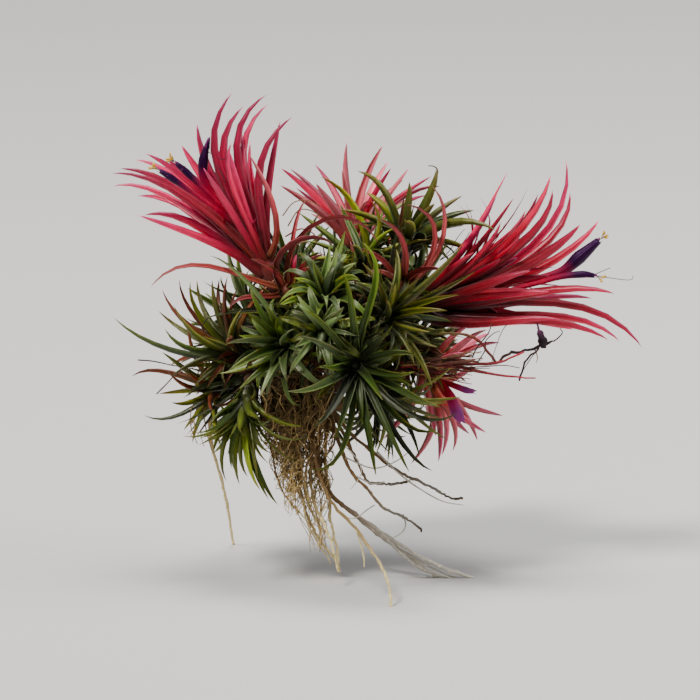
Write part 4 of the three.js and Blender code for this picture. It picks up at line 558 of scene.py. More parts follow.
def standing(points):
    """From the leaning frame in millimetres to the part's frame in metres."""
    u, v, w = points[:, 0], points[:, 1], points[:, 2]
    sine, cosine = math.sin(LEAN), math.cos(LEAN)
    y = v * sine - w * cosine - MIDDLE_DEPTH
    z = v * cosine + w * sine - FLOOR_SINK
    return np.stack([u, y, z], axis=1) / 1000


def shade(text):
    """A linear colour from a written one."""
    parts = [int(text[i : i + 2], 16) / 255 for i in (1, 3, 5)]
    return tuple(p / 12.92 if p <= 0.04045 else ((p + 0.055) / 1.055) ** 2.4 for p in parts)


# ---- where the leaves of the solids run ----
class Blocks:
    """Straight pieces that the leaves of other rosettes keep clear of."""

    def __init__(self, room=9000):
        self.count = 0
        self.owners, self.radii = np.zeros(room, dtype=int), np.zeros(room)
        self.starts, self.ends = np.zeros((room, 3)), np.zeros((room, 3))
        self.names = {}

    def owner(self, name):
        return self.names.setdefault(name, len(self.names))

    def add(self, name, points, radii):
        """Takes the spans between the points, with a radius for each span."""
        for start, end, radius in zip(points, points[1:], radii):
            self.owners[self.count], self.radii[self.count] = self.owner(name), radius
            self.starts[self.count], self.ends[self.count] = start, end
            self.count += 1

    def near(self, name, start, end, radius):
        """True where a straight piece comes too close to one of another owner."""
        n = self.count
        starts, ends, radii = self.starts[:n], self.ends[:n], self.radii[:n]
        reach = np.linalg.norm(ends - starts, axis=1) / 2 + radii
        own = np.linalg.norm(end - start) / 2 + radius + LEAF_GAP
        apart = np.linalg.norm((starts + ends) / 2 - (start + end) / 2, axis=1)
        close = (self.owners[:n] != self.owner(name)) & (apart <= own + reach)
        if not close.any():
            return False
        gap = gaps_between(start, end, starts[close], ends[close])
        return bool((gap < radius + radii[close] + LEAF_GAP).any())


def gaps_between(p1, q1, p2, q2):
    """Shortest distances between one straight piece and many."""
    d1, d2, r = q1 - p1, q2 - p2, p1 - p2
    a, e = d1 @ d1, np.sum(d2 * d2, axis=1)
    f, c, b = np.sum(d2 * r, axis=1), r @ d1, d2 @ d1
    det = a * e - b * b
    safe = np.where(det > 1e-9, det, 1)
    s = np.where(det > 1e-9, np.clip((b * f - c * e) / safe, 0, 1), 0)
    t = (b * s + f) / e
    s = np.where(t < 0, np.clip(-c / a, 0, 1), np.where(t > 1, np.clip((b - c) / a, 0, 1), s))
    t = np.clip(t, 0, 1)
    return np.linalg.norm(p1 + d1 * s[:, None] - p2 - d2 * t[:, None], axis=1)


def widest(radii):
    """The larger radius of each span."""
    return [max(pair) for pair in zip(radii, radii[1:])]


def width_share(t):
    return 0.6 if t == 0 else 1 - 0.18 * t - 0.62 * t * t


def leaf_line(points, half_width):
    """A leaf of the solids: the middles of its straight pieces and half its width at each."""
    length = np.linalg.norm(points[3] - points[0])
    shares = LONG_SHARES if length > LONG_LEAF else MIDDLE_SHARES if length > SHORT_LEAF else SHORT_SHARES
    return [along(points, t) for t in shares], [max(half_width * width_share(t), THINNEST_KEEL) for t in shares]


def settled_leaf(blocks, plant, points, sway_direction):
    """The leaf's points once swayed or shortened clear of other rosettes, or None."""
    for short in SHORTENINGS:
        for sway in SWAYS:
            shrunk = points[0] + (points - points[0]) * short
            moved = shrunk + sway_direction * (sway * short * SWAY_SHARES)[:, None]
            middles, halves = leaf_line(moved, plant.half)
            spans = zip(middles, middles[1:], halves)
            if not any(blocks.near(plant.name, start, end, half) for start, end, half in spans):
                blocks.add(plant.name, middles, halves)
                return moved
    return None


def leaf_root(plant, k, toward):
    """A point just under the skin of the core, a little further along for each leaf."""
    low, mid, high = plant.radii
    share = 0.15 + 0.4 * ((k * 0.618) % 1)
    middle = along(plant.rings, share)
    rise = share * 2
    radius = low + (mid - low) * rise if rise < 1 else mid + (high - mid) * (rise - 1)
    return middle + unit(toward - middle) * ROOT_SINK * radius


def leaf_points(plant, k, row):
    """Four points of a leaf that is given by its tip, outer and inner point."""
    tip, outer, inner = row
    return np.array([leaf_root(plant, k, inner), inner, outer, tip])


def arched_leaf(plant, k, tilt, turn, length, arch):
    """Four points of a leaf that leaves the core at a tilt and arches on, and the way out of the rosette."""
    axis, out = unit(plant.axis), out_from(plant.axis, turn)

    def heading(angle):
        return axis * math.cos(angle) + out * math.sin(angle)

    root = leaf_root(plant, k, plant.heart + heading(tilt) * length)
    inner = root + heading(tilt * 0.75) * length * 0.34
    outer = inner + heading(tilt + arch * 0.4) * length * 0.36
    tip = outer + heading(tilt + arch * 1.3) * length * 0.34
    return np.array([root, inner, outer, tip]), out


def wanted_leaves(plant):
    """The leaves set one by one, then those set by rule, each with the way that it may sway."""
    leaves = [(leaf_points(plant, k, row), vec((0, 0, 1))) for k, row in enumerate(plant.shown)]
    count, shortest, longest, narrow, wide, seed, arch = plant.fill
    draw = draw_from(seed)
    for k in range(count):
        share = (k + 0.5) / count
        tilt = narrow + (wide - narrow) * math.sqrt(share) + (draw() - 0.5) * 0.16
        turn = k * GOLDEN_TURN + (draw() - 0.5) * 0.3
        length = shortest + (longest - shortest) * (0.25 + 0.75 * share) * (0.8 + 0.25 * draw())
        leaves.append(arched_leaf(plant, k, tilt, turn, length, arch))
    return leaves


def arm_points(plant):
    """The arm of the stem that ends just short of the rosette's seat."""
    start, bend = plant.arm
    seat = plant.rings[0]
    ahead = unit(plant.rings[1] - seat)
    return np.array([vec(start), vec(bend), seat - ahead * NECK_LENGTH, seat - ahead * SEAT_GAP])


def wandering_root(points, radius, tip_radius, steps, wander, draw):
    """Middles and radii of a root that wanders a little between its points."""
    points = vec(points)
    swings = [wander if 0 < i < steps else 0 for i in range(steps + 1)]
    middles = [along(points, i / steps) + jitter(draw) * swing for i, swing in enumerate(swings)]
    return np.array(middles), np.linspace(radius, tip_radius, steps + 1)


def tangle_roots():
    draw = draw_from(TANGLE_SEED)
    roots = []
    for k in range(TANGLE_COUNT):
        s = (k + 0.5) / TANGLE_COUNT
        top = vec((-43 + 25 * s, 71.5, -9.5 + 2.5 * draw()))
        end = vec((-35 + 11 * draw(), 27 + 19 * draw(), -14 + 18 * draw()))
        swing = (draw() - 0.5) * 14
        bow = (top + end) / 2 + vec((swing, 4 * draw(), (draw() - 0.5) * 12))
        roots.append(wandering_root([top, bow, end], 0.75, 0.45, 5, 3, draw))
    return roots


def long_roots():
    draw = draw_from(TANGLE_SEED + 1)
    return [wandering_root(points, 0.95, 0.6, len(points) + 1, 1.2, draw) for _, points in HANGING_ROOTS]


def left_root():
    return wandering_root(LEFT_ROOT, 1, 0.6, 9, 0.8, draw_from(TANGLE_SEED + 2))


def settle_leaves():
    """Every leaf of the solids, by rosette, each as four points."""
    blocks = Blocks()
    for points, radii in STEM_LIMBS:
        blocks.add("woody_stem", points, widest(radii))
    for plant in ROSETTES:
        blocks.add("woody_stem", arm_points(plant)[:3], ARM_RADII)
        blocks.add(plant.name, plant.rings, [plant.radii[1]] * 2)
    for middles, radii in long_roots() + tangle_roots():
        blocks.add("root_tangle", middles, radii)
    blocks.add("left_root", *left_root())
    for name, radii, points in FLOWERS:
        blocks.add(name, points[1:], widest(radii[1:]))
    for name, start, ahead in ANTHERS:
        blocks.add(name, (vec(start), vec(start) + vec(ahead) * 1.2 * ANTHER_REACH), (ANTHER_ROOM,))
    for points, radii in WITHERED_PARTS:
        blocks.add("withered_flower", points[1:], widest(radii[1:]))
    for points, radii in DRY_HEAD_PARTS:
        blocks.add("dry_head", points, widest(radii))
    settled = {}
    for plant in ROSETTES:
        found = [settled_leaf(blocks, plant, points, out) for points, out in wanted_leaves(plant)]
        settled[plant.name] = [points for points in found if points is not None]
    return settled


# ---- tones of the leaves: the slot, and the colours at the seat, low down, in the middle and at the tip ----
# The seat and low-down colours are partly the leaves' own colour and partly painted shade where the leaf bases
# sit deep in the rosette. The tone named shade is a near-black green, partly the leaves' own dark green and
# partly painted shade inside the clump.
TONE_STOPS = np.array([0, 0.22, 0.62, 1])
TONES = {
    "crimson": ("crimson_leaf", "#543020", "#940c24", "#de1450", "#cf3068"),
    "deep_crimson": ("crimson_leaf", "#080200", "#300204", "#ac0424", "#dc2858"),
    "coral": ("coral_leaf", "#4c2c18", "#981c14", "#c01c44", "#9c1c48"),
    "salmon": ("coral_leaf", "#7c441c", "#d85c4c", "#f06c80", "#ec5c88"),
    "rose": ("coral_leaf", "#6c3c28", "#cc5858", "#e4707c", "#d85c70"),
    "brick": ("brick_leaf", "#523418", "#883428", "#b44048", "#a85c60"),
    "green": ("green_leaf", "#060a00", "#1c2c00", "#3a5404", "#586810"),
    "moss": ("green_leaf", "#080800", "#1e2400", "#384000", "#4a4008"),
    "silver": ("silver_leaf", "#0c1206", "#2a3c14", "#566a34", "#5e6838"),
    "olive": ("olive_leaf", "#181400", "#3c4400", "#687000", "#644400"),
    "lime": ("olive_leaf", "#242400", "#424c00", "#647410", "#545404"),
    "russet": ("olive_leaf", "#141000", "#2c2000", "#541808", "#44180c"),
    "shade": ("green_leaf", "#020200", "#0a1200", "#182600", "#303c04"),
}


def tone_rows(name, shares):
    stops = np.array([shade(text) for text in TONES[name][1:]])
    return np.stack([np.interp(shares, TONE_STOPS, column) for column in stops.T], axis=1)


def only(tone):
    """A rosette's tones where all of its leaves have one."""
    return tone, tone, 0


# ---- settings that a user would change ----
def length_setting(name, description, default):
    return FloatProperty(name=name, description=description, default=default, unit="LENGTH", subtype="DISTANCE")


def count_setting(name, description, default):
    return IntProperty(name=name, description=description, default=default, min=0)


def colour_setting(name, description, text):
    return FloatVectorProperty(
        name=name, description=description, default=shade(text), size=3, subtype="COLOR", min=0, max=1
    )


class AirPlantSizes(PropertyGroup):
    """Sizes and counts of the fine parts."""

    tuck_leaves: count_setting("Tucked leaves", "Small leaves added in each green rosette", 38)
    tuck_width: length_setting("Tucked leaf width", "Half width of a small leaf", 0.0013)
    fibre_count: count_setting("Fibres", "Fine root fibres in the tangle", 180)
    fibre_radius: length_setting("Fibre radius", "Radius of a fine root fibre", 0.0002)
    crown_fibre_count: count_setting("Crown fibres", "Fibres that spill over the roots' crown", 55)
    husk_count: count_setting("Husks", "Dry scales along the woody stem", 170)
    stem_leaf_count: count_setting("Stem leaves", "Leaves along the stem", 300)


class AirPlantColours(PropertyGroup):
    """Colours shared by the pieces."""

    scurf: colour_setting("Scurf", "Silvery scales on the leaves", "#c9ccb8")
    bark: colour_setting("Bark", "Woody stem", "#4a3422")
    husk: colour_setting("Husk", "Dry scales and leaf bases", "#74583a")
    root_brown: colour_setting("Root brown", "Upper roots", "#5c4426")
    root_tan: colour_setting("Root tan", "Lower roots", "#a08858")
    root_tip: colour_setting("Root tip", "Growing root tips", "#f0dca0")
    root_grey: colour_setting("Root grey", "Weathered roots", "#c4beb0")
    violet: colour_setting("Violet", "Flower tubes", "#220028")
    violet_light: colour_setting("Light violet", "Mouths of the flowers", "#90347c")
    pollen: colour_setting("Pollen", "Anthers", "#e0b040")
    withered: colour_setting("Withered", "Dried flower", "#24121e")
    straw: colour_setting("Straw", "Dry head and tendrils", "#5a3024")
    floor: colour_setting("Floor", "Plain floor", "#cfcdca")


def sizes():
    return bpy.context.scene.air_plant_sizes


def colour_of(name):
    """A shared colour, or a written one."""
    return vec(shade(name) if name.startswith("#") else getattr(bpy.context.scene.air_plant_colours, name))


# ---- mesh gathering ----
class Gathering:
    """Vertices, faces, blade places and tints of one piece, gathered shape by shape."""

    def __init__(self):
        self.points, self.faces, self.blades, self.tints = [], [], [], []
        self.count = 0

    def add(self, points, faces, blades, tints):
        self.points.append(points)
        self.faces.extend([[corner + self.count for corner in face] for face in faces])
        self.blades.append(blades)
        self.tints.append(tints)
        self.count += len(points)

    def tint_last(self, tint):
        """Gives the last shape one tint all over."""
        self.tints[-1] = np.tile(tint, (len(self.tints[-1]), 1))


def mesh_of(name, gathering):
    mesh = bpy.data.meshes.new(name)
    places = standing(np.vstack(gathering.points))
    places[:, 2] = np.maximum(places[:, 2], 0)
    mesh.from_pydata(places, [], gathering.faces)
    blade = mesh.attributes.new("blade", "FLOAT_VECTOR", "POINT")
    blade.data.foreach_set("vector", np.vstack(gathering.blades).astype(np.float32).ravel())
    tint = mesh.attributes.new("tint", "FLOAT_COLOR", "POINT")
    rgb = np.vstack(gathering.tints)
    rgba = np.hstack([rgb, np.ones((len(rgb), 1))])
    tint.data.foreach_set("color", rgba.astype(np.float32).ravel())
    mesh.polygons.foreach_set("use_smooth", np.ones(len(mesh.polygons), dtype=bool))
    mesh.validate()
    return mesh


def place_piece(name, gathering, material, slot, *nodes):
    """Makes the piece, gives it its finish and sets it on the part."""
    piece = bpy.data.objects.new(name, mesh_of(name, gathering))
    bpy.context.scene.collection.objects.link(piece)
    piece.data.materials.append(material)
    if nodes:
        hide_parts(*nodes)
    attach(piece, "root")


def deselect_all():
    for thing in bpy.context.selected_objects:
        thing.select_set(False)


def shape_and_remove(blank):
    """A modelled shape's corners and faces, the faces in one order. The object is taken away."""
    mesh = blank.data
    corners = np.array([tuple(v.co) for v in mesh.vertices])
    loops = [list(face.vertices) for face in mesh.polygons]
    faces = sorted(loop[loop.index(min(loop)):] + loop[:loop.index(min(loop))] for loop in loops)
    bpy.data.objects.remove(blank)
    bpy.data.meshes.remove(mesh)
    return corners, faces


def modelled_blade():
    """One upright blade: a ring of corners, cut across at each share and drawn to a point."""
    deselect_all()
    bpy.ops.mesh.primitive_cylinder_add(vertices=BLADE_CORNERS, radius=1, depth=1, location=(0, 0, 0.5))
    blank = bpy.context.active_object
    bpy.ops.object.transform_apply(location=True, rotation=True, scale=True)
    bpy.ops.object.mode_set(mode="EDIT")
    for share in BLADE_SHARES[1:-1]:
        bpy.ops.mesh.select_all(action="SELECT")
        bpy.ops.mesh.bisect(plane_co=(0, 0, share), plane_no=(0, 0, 1))
    bpy.ops.mesh.select_all(action="DESELECT")
    bpy.ops.object.mode_set(mode="OBJECT")
    for vertex in blank.data.vertices:
        vertex.select = vertex.co.z > 0.999
    bpy.ops.object.mode_set(mode="EDIT")
    bpy.ops.mesh.merge(type="CENTER")
    bpy.ops.object.mode_set(mode="OBJECT")
    return shape_and_remove(blank)


def modelled_pod():
    """One small pod: a ball of few faces, for anthers."""
    deselect_all()
    bpy.ops.mesh.primitive_uv_sphere_add(segments=8, ring_count=6, radius=1, location=(0, 0, 0))
    return shape_and_remove(bpy.context.active_object)


class Blanks:
    """Shapes modelled once and laid many times, and the leaves' places."""

    blade = None
    pod = None
    leaves = {}


def make_blanks():
    """Models the shapes and settles the leaves, the first time that a piece needs them."""
    if not Blanks.leaves:
        Blanks.blade = modelled_blade()
        Blanks.pod = modelled_pod()
        Blanks.leaves = settle_leaves()


def carried_frames(middles, face):
    """Directions sideways and facing at each middle, carried along without a sudden turn."""
    ahead = unit_rows(np.gradient(middles, axis=0))
    faces = np.zeros_like(middles)
    for i, way in enumerate(ahead):
        face = unit(face - way * (face @ way))
        faces[i] = face
    return np.cross(faces, ahead), faces


def blade_width(shares, fullness):
    """A clasping seat, then a strap (fullness 1) or a long taper (fullness 0) to the point."""
    clasp = 0.3 * np.exp(-((shares / 0.1) ** 2)) * (1 - shares)
    strap = 1.08 * (1 - shares**4.5) ** 0.8 * (1 - 0.16 * shares)
    taper = (1 - 0.3 * shares - 0.62 * shares**2) * (1 - shares**9)
    return strap * fullness + taper * (1 - fullness) + clasp


def lay_blade(
    gathering, points, half, facing, tones, draw, twist=0.3, keel_share=KEEL_SHARE, fullness=0.0, painted_light_factor=1.0
):
    """Lays the modelled blade along four points, channelled on the side that faces `facing`."""
    corners, faces = Blanks.blade
    shares = BLADE_SHARES
    middles = through_four(points, shares)
    side, face = carried_frames(middles, facing - middles[2])
    turn = (draw() - 0.5) * 2 * twist * shares[:, None]
    face, side = face * np.cos(turn) + side * np.sin(turn), side * np.cos(turn) - face * np.sin(turn)
    width = half * blade_width(shares, fullness)
    keel = np.maximum(width * keel_share, 0.18 * (1 - shares) + 0.02)
    ring = np.array([int(np.argmin(np.abs(shares - z))) for z in corners[:, 2]])
    lean, depth = corners[:, 0], corners[:, 1]
    belly = np.where(depth < 0, depth * BLADE_BELLY, -depth * BLADE_CHANNEL)
    belly = belly + BLADE_EDGE * (1 - np.abs(depth))
    laid = middles[ring] + side[ring] * (lean * width[ring])[:, None]
    laid = laid + face[ring] * (belly * keel[ring])[:, None]
    laid[ring == len(shares) - 1] = middles[-1]
    rows = tone_rows(tones[1] if draw() < tones[2] else tones[0], shares)
    # Painted light and shade: after a random brightness per leaf, the last factor darkens leaves deep in the
    # clump as painted shade, or lightens leaves that point up as painted light.
    rows = rows * (0.55 + 1.1 * draw() ** 2.5) * painted_light_factor
    blades = np.stack([lean, shares[ring], np.full(len(ring), draw())], axis=1)
    gathering.add(laid, faces, blades, rows[ring])


def grid_faces(rings, sides):
    """Faces of a tube of rings, closed at both ends."""
    faces = []
    for r in range(rings - 1):
        for k in range(sides):
            n = (k + 1) % sides
            faces.append([r * sides + k, r * sides + n, (r + 1) * sides + n, (r + 1) * sides + k])
    faces.append(list(range(sides))[::-1])
    faces.append([(rings - 1) * sides + k for k in range(sides)])
    return faces


def lay_tube(gathering, points, radii, sides, tints, rings=None, own=0.5, lumps=0.0, wiggle=0.0, draw=None):
    """A round stalk, root or thread on a smooth curve through its points."""
    points = vec(points)
    rings = rings or 4 * (len(points) - 1) + 1
    shares = np.linspace(0, 1, rings)
    middles = np.array([along(points, t) for t in shares])
    size = np.interp(shares, np.linspace(0, 1, len(radii)), radii)
    if wiggle:
        middles[1:] += np.array([jitter(draw) for _ in shares[1:]]) * wiggle
    if lumps:
        size = size * (1 + lumps * np.array([draw() - 0.5 for _ in range(rings)]))
    first = vec((0, 0, 1)) if abs(unit(middles[1] - middles[0])[2]) < 0.9 else vec((1, 0, 0))
    side, face = carried_frames(middles, first)
    turns = np.arange(sides) * 2 * math.pi / sides
    around = side[:, None] * np.cos(turns)[None, :, None] + face[:, None] * np.sin(turns)[None, :, None]
    laid = (middles[:, None] + around * size[:, None, None]).reshape(-1, 3)
    across = np.tile(np.cos(turns), rings)
    blades = np.stack([across, np.repeat(shares, sides), np.full(rings * sides, own)], axis=1)
    rows = np.repeat(spread_evenly(tints, shares), sides, axis=0)
    gathering.add(laid, grid_faces(rings, sides), blades, rows)


def lay_threads(gathering, threads, taper, sides, draw, lumps=0.0, fades=(1, 1)):
    """Thin threads, each with its path, radius and colour."""
    for path, radius, tint in threads:
        tints = [colour_of(tint) * fade for fade in fades]
        radii = [radius * share for share in taper]
        lay_tube(gathering, path, radii, sides, tints, own=draw(), lumps=lumps, draw=draw)


def lay_pod(gathering, middle, ahead, length, radius, tint, own):
    """Lays the modelled pod at a place, stretched along a direction."""
    corners, faces = Blanks.pod
    axis, side, up = spread_axes(ahead)
    laid = middle + np.outer(corners[:, 0], up) * radius + np.outer(corners[:, 1], side) * radius
    laid = laid + np.outer(corners[:, 2], axis) * length / 2
    blades = np.stack([corners[:, 0], corners[:, 2] / 2 + 0.5, np.full(len(corners), own)], axis=1)
    gathering.add(laid, faces, blades, np.tile(tint, (len(corners), 1)))


# ---- finishes ----
class Nodes:
    """Short ways to add nodes to a tree."""

    def __init__(self, tree):
        self.tree = tree

    def node(self, kind, **choices):
        node = self.tree.nodes.new("ShaderNode" + kind)
        for name, value in choices.items():
            setattr(node, name, value)
        return node

    def feed(self, node, values):
        """Sets a node's inputs to numbers or colours, or links them to the outputs of other nodes."""
        for key, value in values.items():
            socket = node.inputs[key]
            if isinstance(value, (int, float)):
                socket.default_value = value
            elif isinstance(value, tuple):
                socket.default_value = (*value, 1)[:len(socket.default_value)]
            else:
                self.tree.links.new(value, socket)
        return node

    def attribute(self, name, output):
        return self.node("Attribute", attribute_name=name).outputs[output]

    def coordinates(self, kind="Object"):
        return self.node("TexCoord").outputs[kind]

    def split(self, vector):
        return self.feed(self.node("SeparateXYZ"), {0: vector}).outputs

    def maths(self, operation, *values, clamp=False):
        node = self.node("Math", operation=operation, use_clamp=clamp)
        return self.feed(node, dict(enumerate(values))).outputs[0]

    def times(self, first, second, clamp=False):
        return self.maths("MULTIPLY", first, second, clamp=clamp)

    def plus(self, first, second):
        return self.maths("ADD", first, second)

    def noise(self, vector, scale, detail, roughness=0.55):
        values = {"Vector": vector, "Scale": scale, "Detail": detail, "Roughness": roughness}
        return self.feed(self.node("TexNoise"), values).outputs["Fac"]

    def drawn_out(self, vector, stretch, scale, detail):
        """Noise that is drawn out along the leaf or root."""
        node = self.feed(self.node("Mapping"), {"Vector": vector, "Scale": stretch})
        return self.noise(node.outputs["Vector"], scale, detail)

    def patches(self, value, low, high, amount):
        """Nothing where the value is low, the amount where it is high."""
        node = self.feed(self.node("MapRange"), {"Value": value, "From Min": low, "From Max": high})
        return self.times(node.outputs["Result"], amount, True)

    def mixed(self, factor, first, second, blend="MIX"):
        node = self.node("Mix", data_type="RGBA", blend_type=blend)
        return self.feed(node, {0: factor, 6: first, 7: second}).outputs[2]

    def tinted(self, tint, tone):
        return self.mixed(1.0, tint, tone, "MULTIPLY")


class Finish(Nodes):
    """A material in the making, with one surface."""

    def __init__(self, name):
        self.material = bpy.data.materials.new(name)
        self.material.use_nodes = True
        super().__init__(self.material.node_tree)
        self.tree.nodes.clear()
        self.surface = self.node("BsdfPrincipled")
        self.feed(self.node("OutputMaterial"), {"Surface": self.surface.outputs["BSDF"]})

    def bumped(self, height, strength, distance):
        node = self.feed(self.node("Bump"), {"Strength": strength, "Distance": distance, "Height": height})
        self.feed(self.surface, {"Normal": node.outputs["Normal"]})

    def done(self, values):
        """Sets the surface's inputs and hands over the material."""
        self.feed(self.surface, values)
        return self.material


def leaf_finish(name, scurf_amount, roughness, flesh, edge_silver_and_shade_tone, gloss_tone, down_tone, rim_power=4.0):
    """Fine lengthwise ribs, silvery scales that gather low down and at the edges, and cloudy mottling; a
    painted highlight along the middle of each leaf, and edges in a given tone: paler silvery scales on green
    leaves, painted shade on the crimson and brick-red ones.
    """
    leaf = Finish(name)
    tint, place, here = leaf.attribute("tint", "Color"), leaf.attribute("blade", "Vector"), leaf.coordinates()
    across, share, own = leaf.split(place)
    streaks = leaf.drawn_out(place, (5, 9, 60), 1.0, 4)
    clouds = leaf.noise(here, 130, 3)
    scales = leaf.noise(here, 2600, 2, 0.6)
    ribs = leaf.maths("SINE", leaf.times(across, 26))
    outward = leaf.maths("ABSOLUTE", across)
    edge = leaf.maths("POWER", outward, rim_power)
    # Mask for the painted highlight along the middle of each leaf.
    keel = leaf.maths("POWER", leaf.maths("SUBTRACT", 1, outward, clamp=True), 1.5)
    darker = leaf.tinted(tint, (0.45, 0.36, 0.34))
    lighter = leaf.tinted(tint, (1.8, 1.9, 1.9))
    colour = leaf.mixed(leaf.patches(clouds, 0.35, 0.7, 0.6), tint, darker)
    colour = leaf.mixed(leaf.patches(streaks, 0.45, 0.75, 0.75), colour, lighter)
    colour = leaf.mixed(leaf.patches(ribs, 0.2, 1.0, 0.2), colour, darker)
    # Painted highlight: a lighter band along the middle of each leaf.
    colour = leaf.mixed(leaf.times(keel, 0.45, True), colour, lighter)
    # Edges: paler silvery scales where the edge tone is light; painted shade where it is dark, on the bloom and
    # arching leaves.
    colour = leaf.mixed(leaf.times(edge, 0.8, True), colour, leaf.tinted(tint, edge_silver_and_shade_tone))
    dusting = leaf.patches(scales, 0.42, 0.72, leaf.plus(leaf.times(edge, 0.4), 0.3))
    worn = leaf.plus(leaf.times(share, 0.7), leaf.times(own, 0.6))
    dusting = leaf.times(leaf.times(dusting, scurf_amount), leaf.maths("SUBTRACT", 1.2, worn, clamp=True), True)
    powdered = leaf.mixed(0.12, leaf.tinted(tint, (2.6, 2.7, 3.0)), tuple(colour_of("scurf")))
    leaf.bumped(leaf.plus(leaf.times(ribs, 0.5), leaf.times(scales, 0.5)), 0.35, 0.0001)
    return leaf.done({
        "Base Color": leaf.mixed(dusting, colour, powdered),
        "Roughness": leaf.plus(leaf.times(scales, 0.25), roughness - 0.12),
        "Specular IOR Level": 0.44, "Specular Tint": gloss_tone,
        "Subsurface Weight": flesh, "Subsurface Radius": (1.0, 0.5, 0.3), "Subsurface Scale": 0.0015,
        "Sheen Weight": 0.05, "Sheen Roughness": 0.45, "Sheen Tint": down_tone,
    })


def fibre_finish(name, roughness, coarse, contrast):
    """Woody, papery or stringy stuff: lengthwise fibres over a mottled tint."""
    fibre = Finish(name)
    tint = fibre.attribute("tint", "Color")
    strands = fibre.drawn_out(fibre.attribute("blade", "Vector"), (6, 5, 40), 1.6, 5)
    grit = fibre.noise(fibre.coordinates(), coarse, 4, 0.65)
    dark, light = fibre.tinted(tint, (0.3, 0.26, 0.24)), fibre.tinted(tint, (1.9, 1.8, 1.6))
    colour = fibre.mixed(fibre.patches(strands, 0.62, 0.38, contrast), tint, dark)
    fibre.bumped(fibre.plus(strands, grit), 0.6, 0.0002)
    return fibre.done({
        "Base Color": fibre.mixed(fibre.patches(grit, 0.5, 0.75, contrast), colour, light),
        "Roughness": fibre.plus(fibre.times(grit, 0.2), roughness - 0.1),
        "Specular IOR Level": 0.3,
    })


def petal_finish(name, roughness, flesh):
    """Satin petal with fine lengthwise veins."""
    petal = Finish(name)
    tint = petal.attribute("tint", "Color")
    across = petal.split(petal.attribute("blade", "Vector"))[0]
    veins = petal.maths("SINE", petal.times(across, 22))
    clouds = petal.noise(petal.coordinates(), 500, 3)
    dark, light = petal.tinted(tint, (0.4, 0.35, 0.5)), petal.tinted(tint, (1.8, 1.6, 1.7))
    colour = petal.mixed(petal.patches(veins, 0, 1, 0.35), tint, dark)
    petal.bumped(petal.plus(veins, clouds), 0.4, 0.0001)
    return petal.done({
        "Base Color": petal.mixed(petal.patches(clouds, 0.45, 0.7, 0.4), colour, light),
        "Roughness": petal.plus(petal.times(clouds, 0.2), roughness - 0.1),
        "Specular IOR Level": 0.22, "Specular Tint": (0.75, 0.4, 0.9),
        "Subsurface Weight": flesh, "Subsurface Scale": 0.001,
    })


def floor_finish():
    """Pale, matt and a little cloudy."""
    floor = Finish("plain_floor")
    tone = colour_of("floor")
    soft = floor.times(floor.noise(floor.coordinates(), 3, 2), 0.25)
    colour = floor.mixed(soft, tuple(tone), tuple(tone * 0.92))
    return floor.done({"Base Color": colour, "Roughness": 0.9, "Specular IOR Level": 0.1})


# ---- leaves ----
def lay_core(gathering, plant):
    """The short body at the rosette's heart, darkened as painted shade."""
    low, mid, high = plant.rings
    rows = tone_rows(plant.tones[0], CORE_SHARES) * CORE_SHADE
    radii = [plant.radii[0] * 0.9, plant.radii[1] * 0.85, 0.2]
    lay_tube(gathering, [low, mid, (mid + high) / 2], radii, 10, rows, rings=9)


def lay_tucked(gathering, plant, facing, draw, count, half, narrowest, widest_tilt, shortest, longer, bend):
    """Small leaves that fill the rosette between its long ones, from its heart outwards."""
    for k in range(count):
        share = (k + 0.5) / count
        tilt = narrowest + (widest_tilt - narrowest) * share**0.7 + (draw() - 0.5) * 0.25
        turn = k * GOLDEN_TURN + (draw() - 0.5) * 0.5
        length = plant.fill[2] * (shortest + longer * share) * (0.75 + 0.45 * draw())
        points, _ = arched_leaf(plant, k, tilt, turn, length, bend + 0.8 * draw() ** 2)
        width = half * (0.65 + 0.6 * draw())
        # Tucked leaves are darkened as painted shade deep in the rosette.
        lay_blade(gathering, points, width, facing, plant.tones, draw, painted_light_factor=TUCKED_SHADE)


def rosette_piece(plant, material, count, half, lean=(0, 0, 0), rise_painted_light=0.0):
    """The fine leaves of one rosette, with a count of small ones of half a width tucked in."""
    gathering = Gathering()
    draw = draw_from(plant.fill[5] + FINE_LEAF_SEED)
    facing = plant.heart + unit(plant.axis) * FACING_REACH + vec(lean)
    wide, fullness, depth = plant.shape
    lay_core(gathering, plant)
    for k, points in enumerate(Blanks.leaves[plant.name]):
        size = plant.half * wide * (0.85 + 0.3 * draw())
        # Painted light and shade: leaves whose tips rise above their seats are lightened and those that hang
        # down are darkened.
        rise = float(np.clip((points[3][1] - points[0][1]) / RISE_SPAN, -1, 1))
        tone, share = plant.single.get(k, (None, 1))
        tones = only(tone) if tone else plant.tones
        painted_light_by_rise = 1 + rise_painted_light * rise
        lay_blade(gathering, points, size * share, facing, tones, draw, 0.3, depth, fullness, painted_light_by_rise)
    for k, row in enumerate(plant.extra):
        points = leaf_points(plant, k, row)
        lay_blade(gathering, points, plant.half * wide, facing, plant.tones, draw, 0.3, depth, fullness)
    lay_tucked(gathering, plant, facing, draw, count, half, *plant.tucks[2:])
    place_piece(plant.name + "_fine", gathering, material, TONES[plant.tones[0]][0], plant.name)


class AIRPLANT_OT_blooms(Operator):
    """Makes the blooming heads from narrow channelled leaves"""

    bl_idname = "airplant.blooms"
    bl_label = "Blooming heads"

    def execute(self, context):
        make_blanks()
        # The first tone darkens the leaf edges as painted shade; the others tint the gloss and the sheen.
        tones = (0.42, 0.28, 0.34), (1, 0.62, 0.72), (1, 0.6, 0.65)
        finish = leaf_finish("bloom_leaf", 0.3, 0.34, 0.15, *tones, rim_power=2.2)
        for plant in BLOOMS:
            rosette_piece(plant, finish, *plant.tucks[:2])
        return {"FINISHED"}


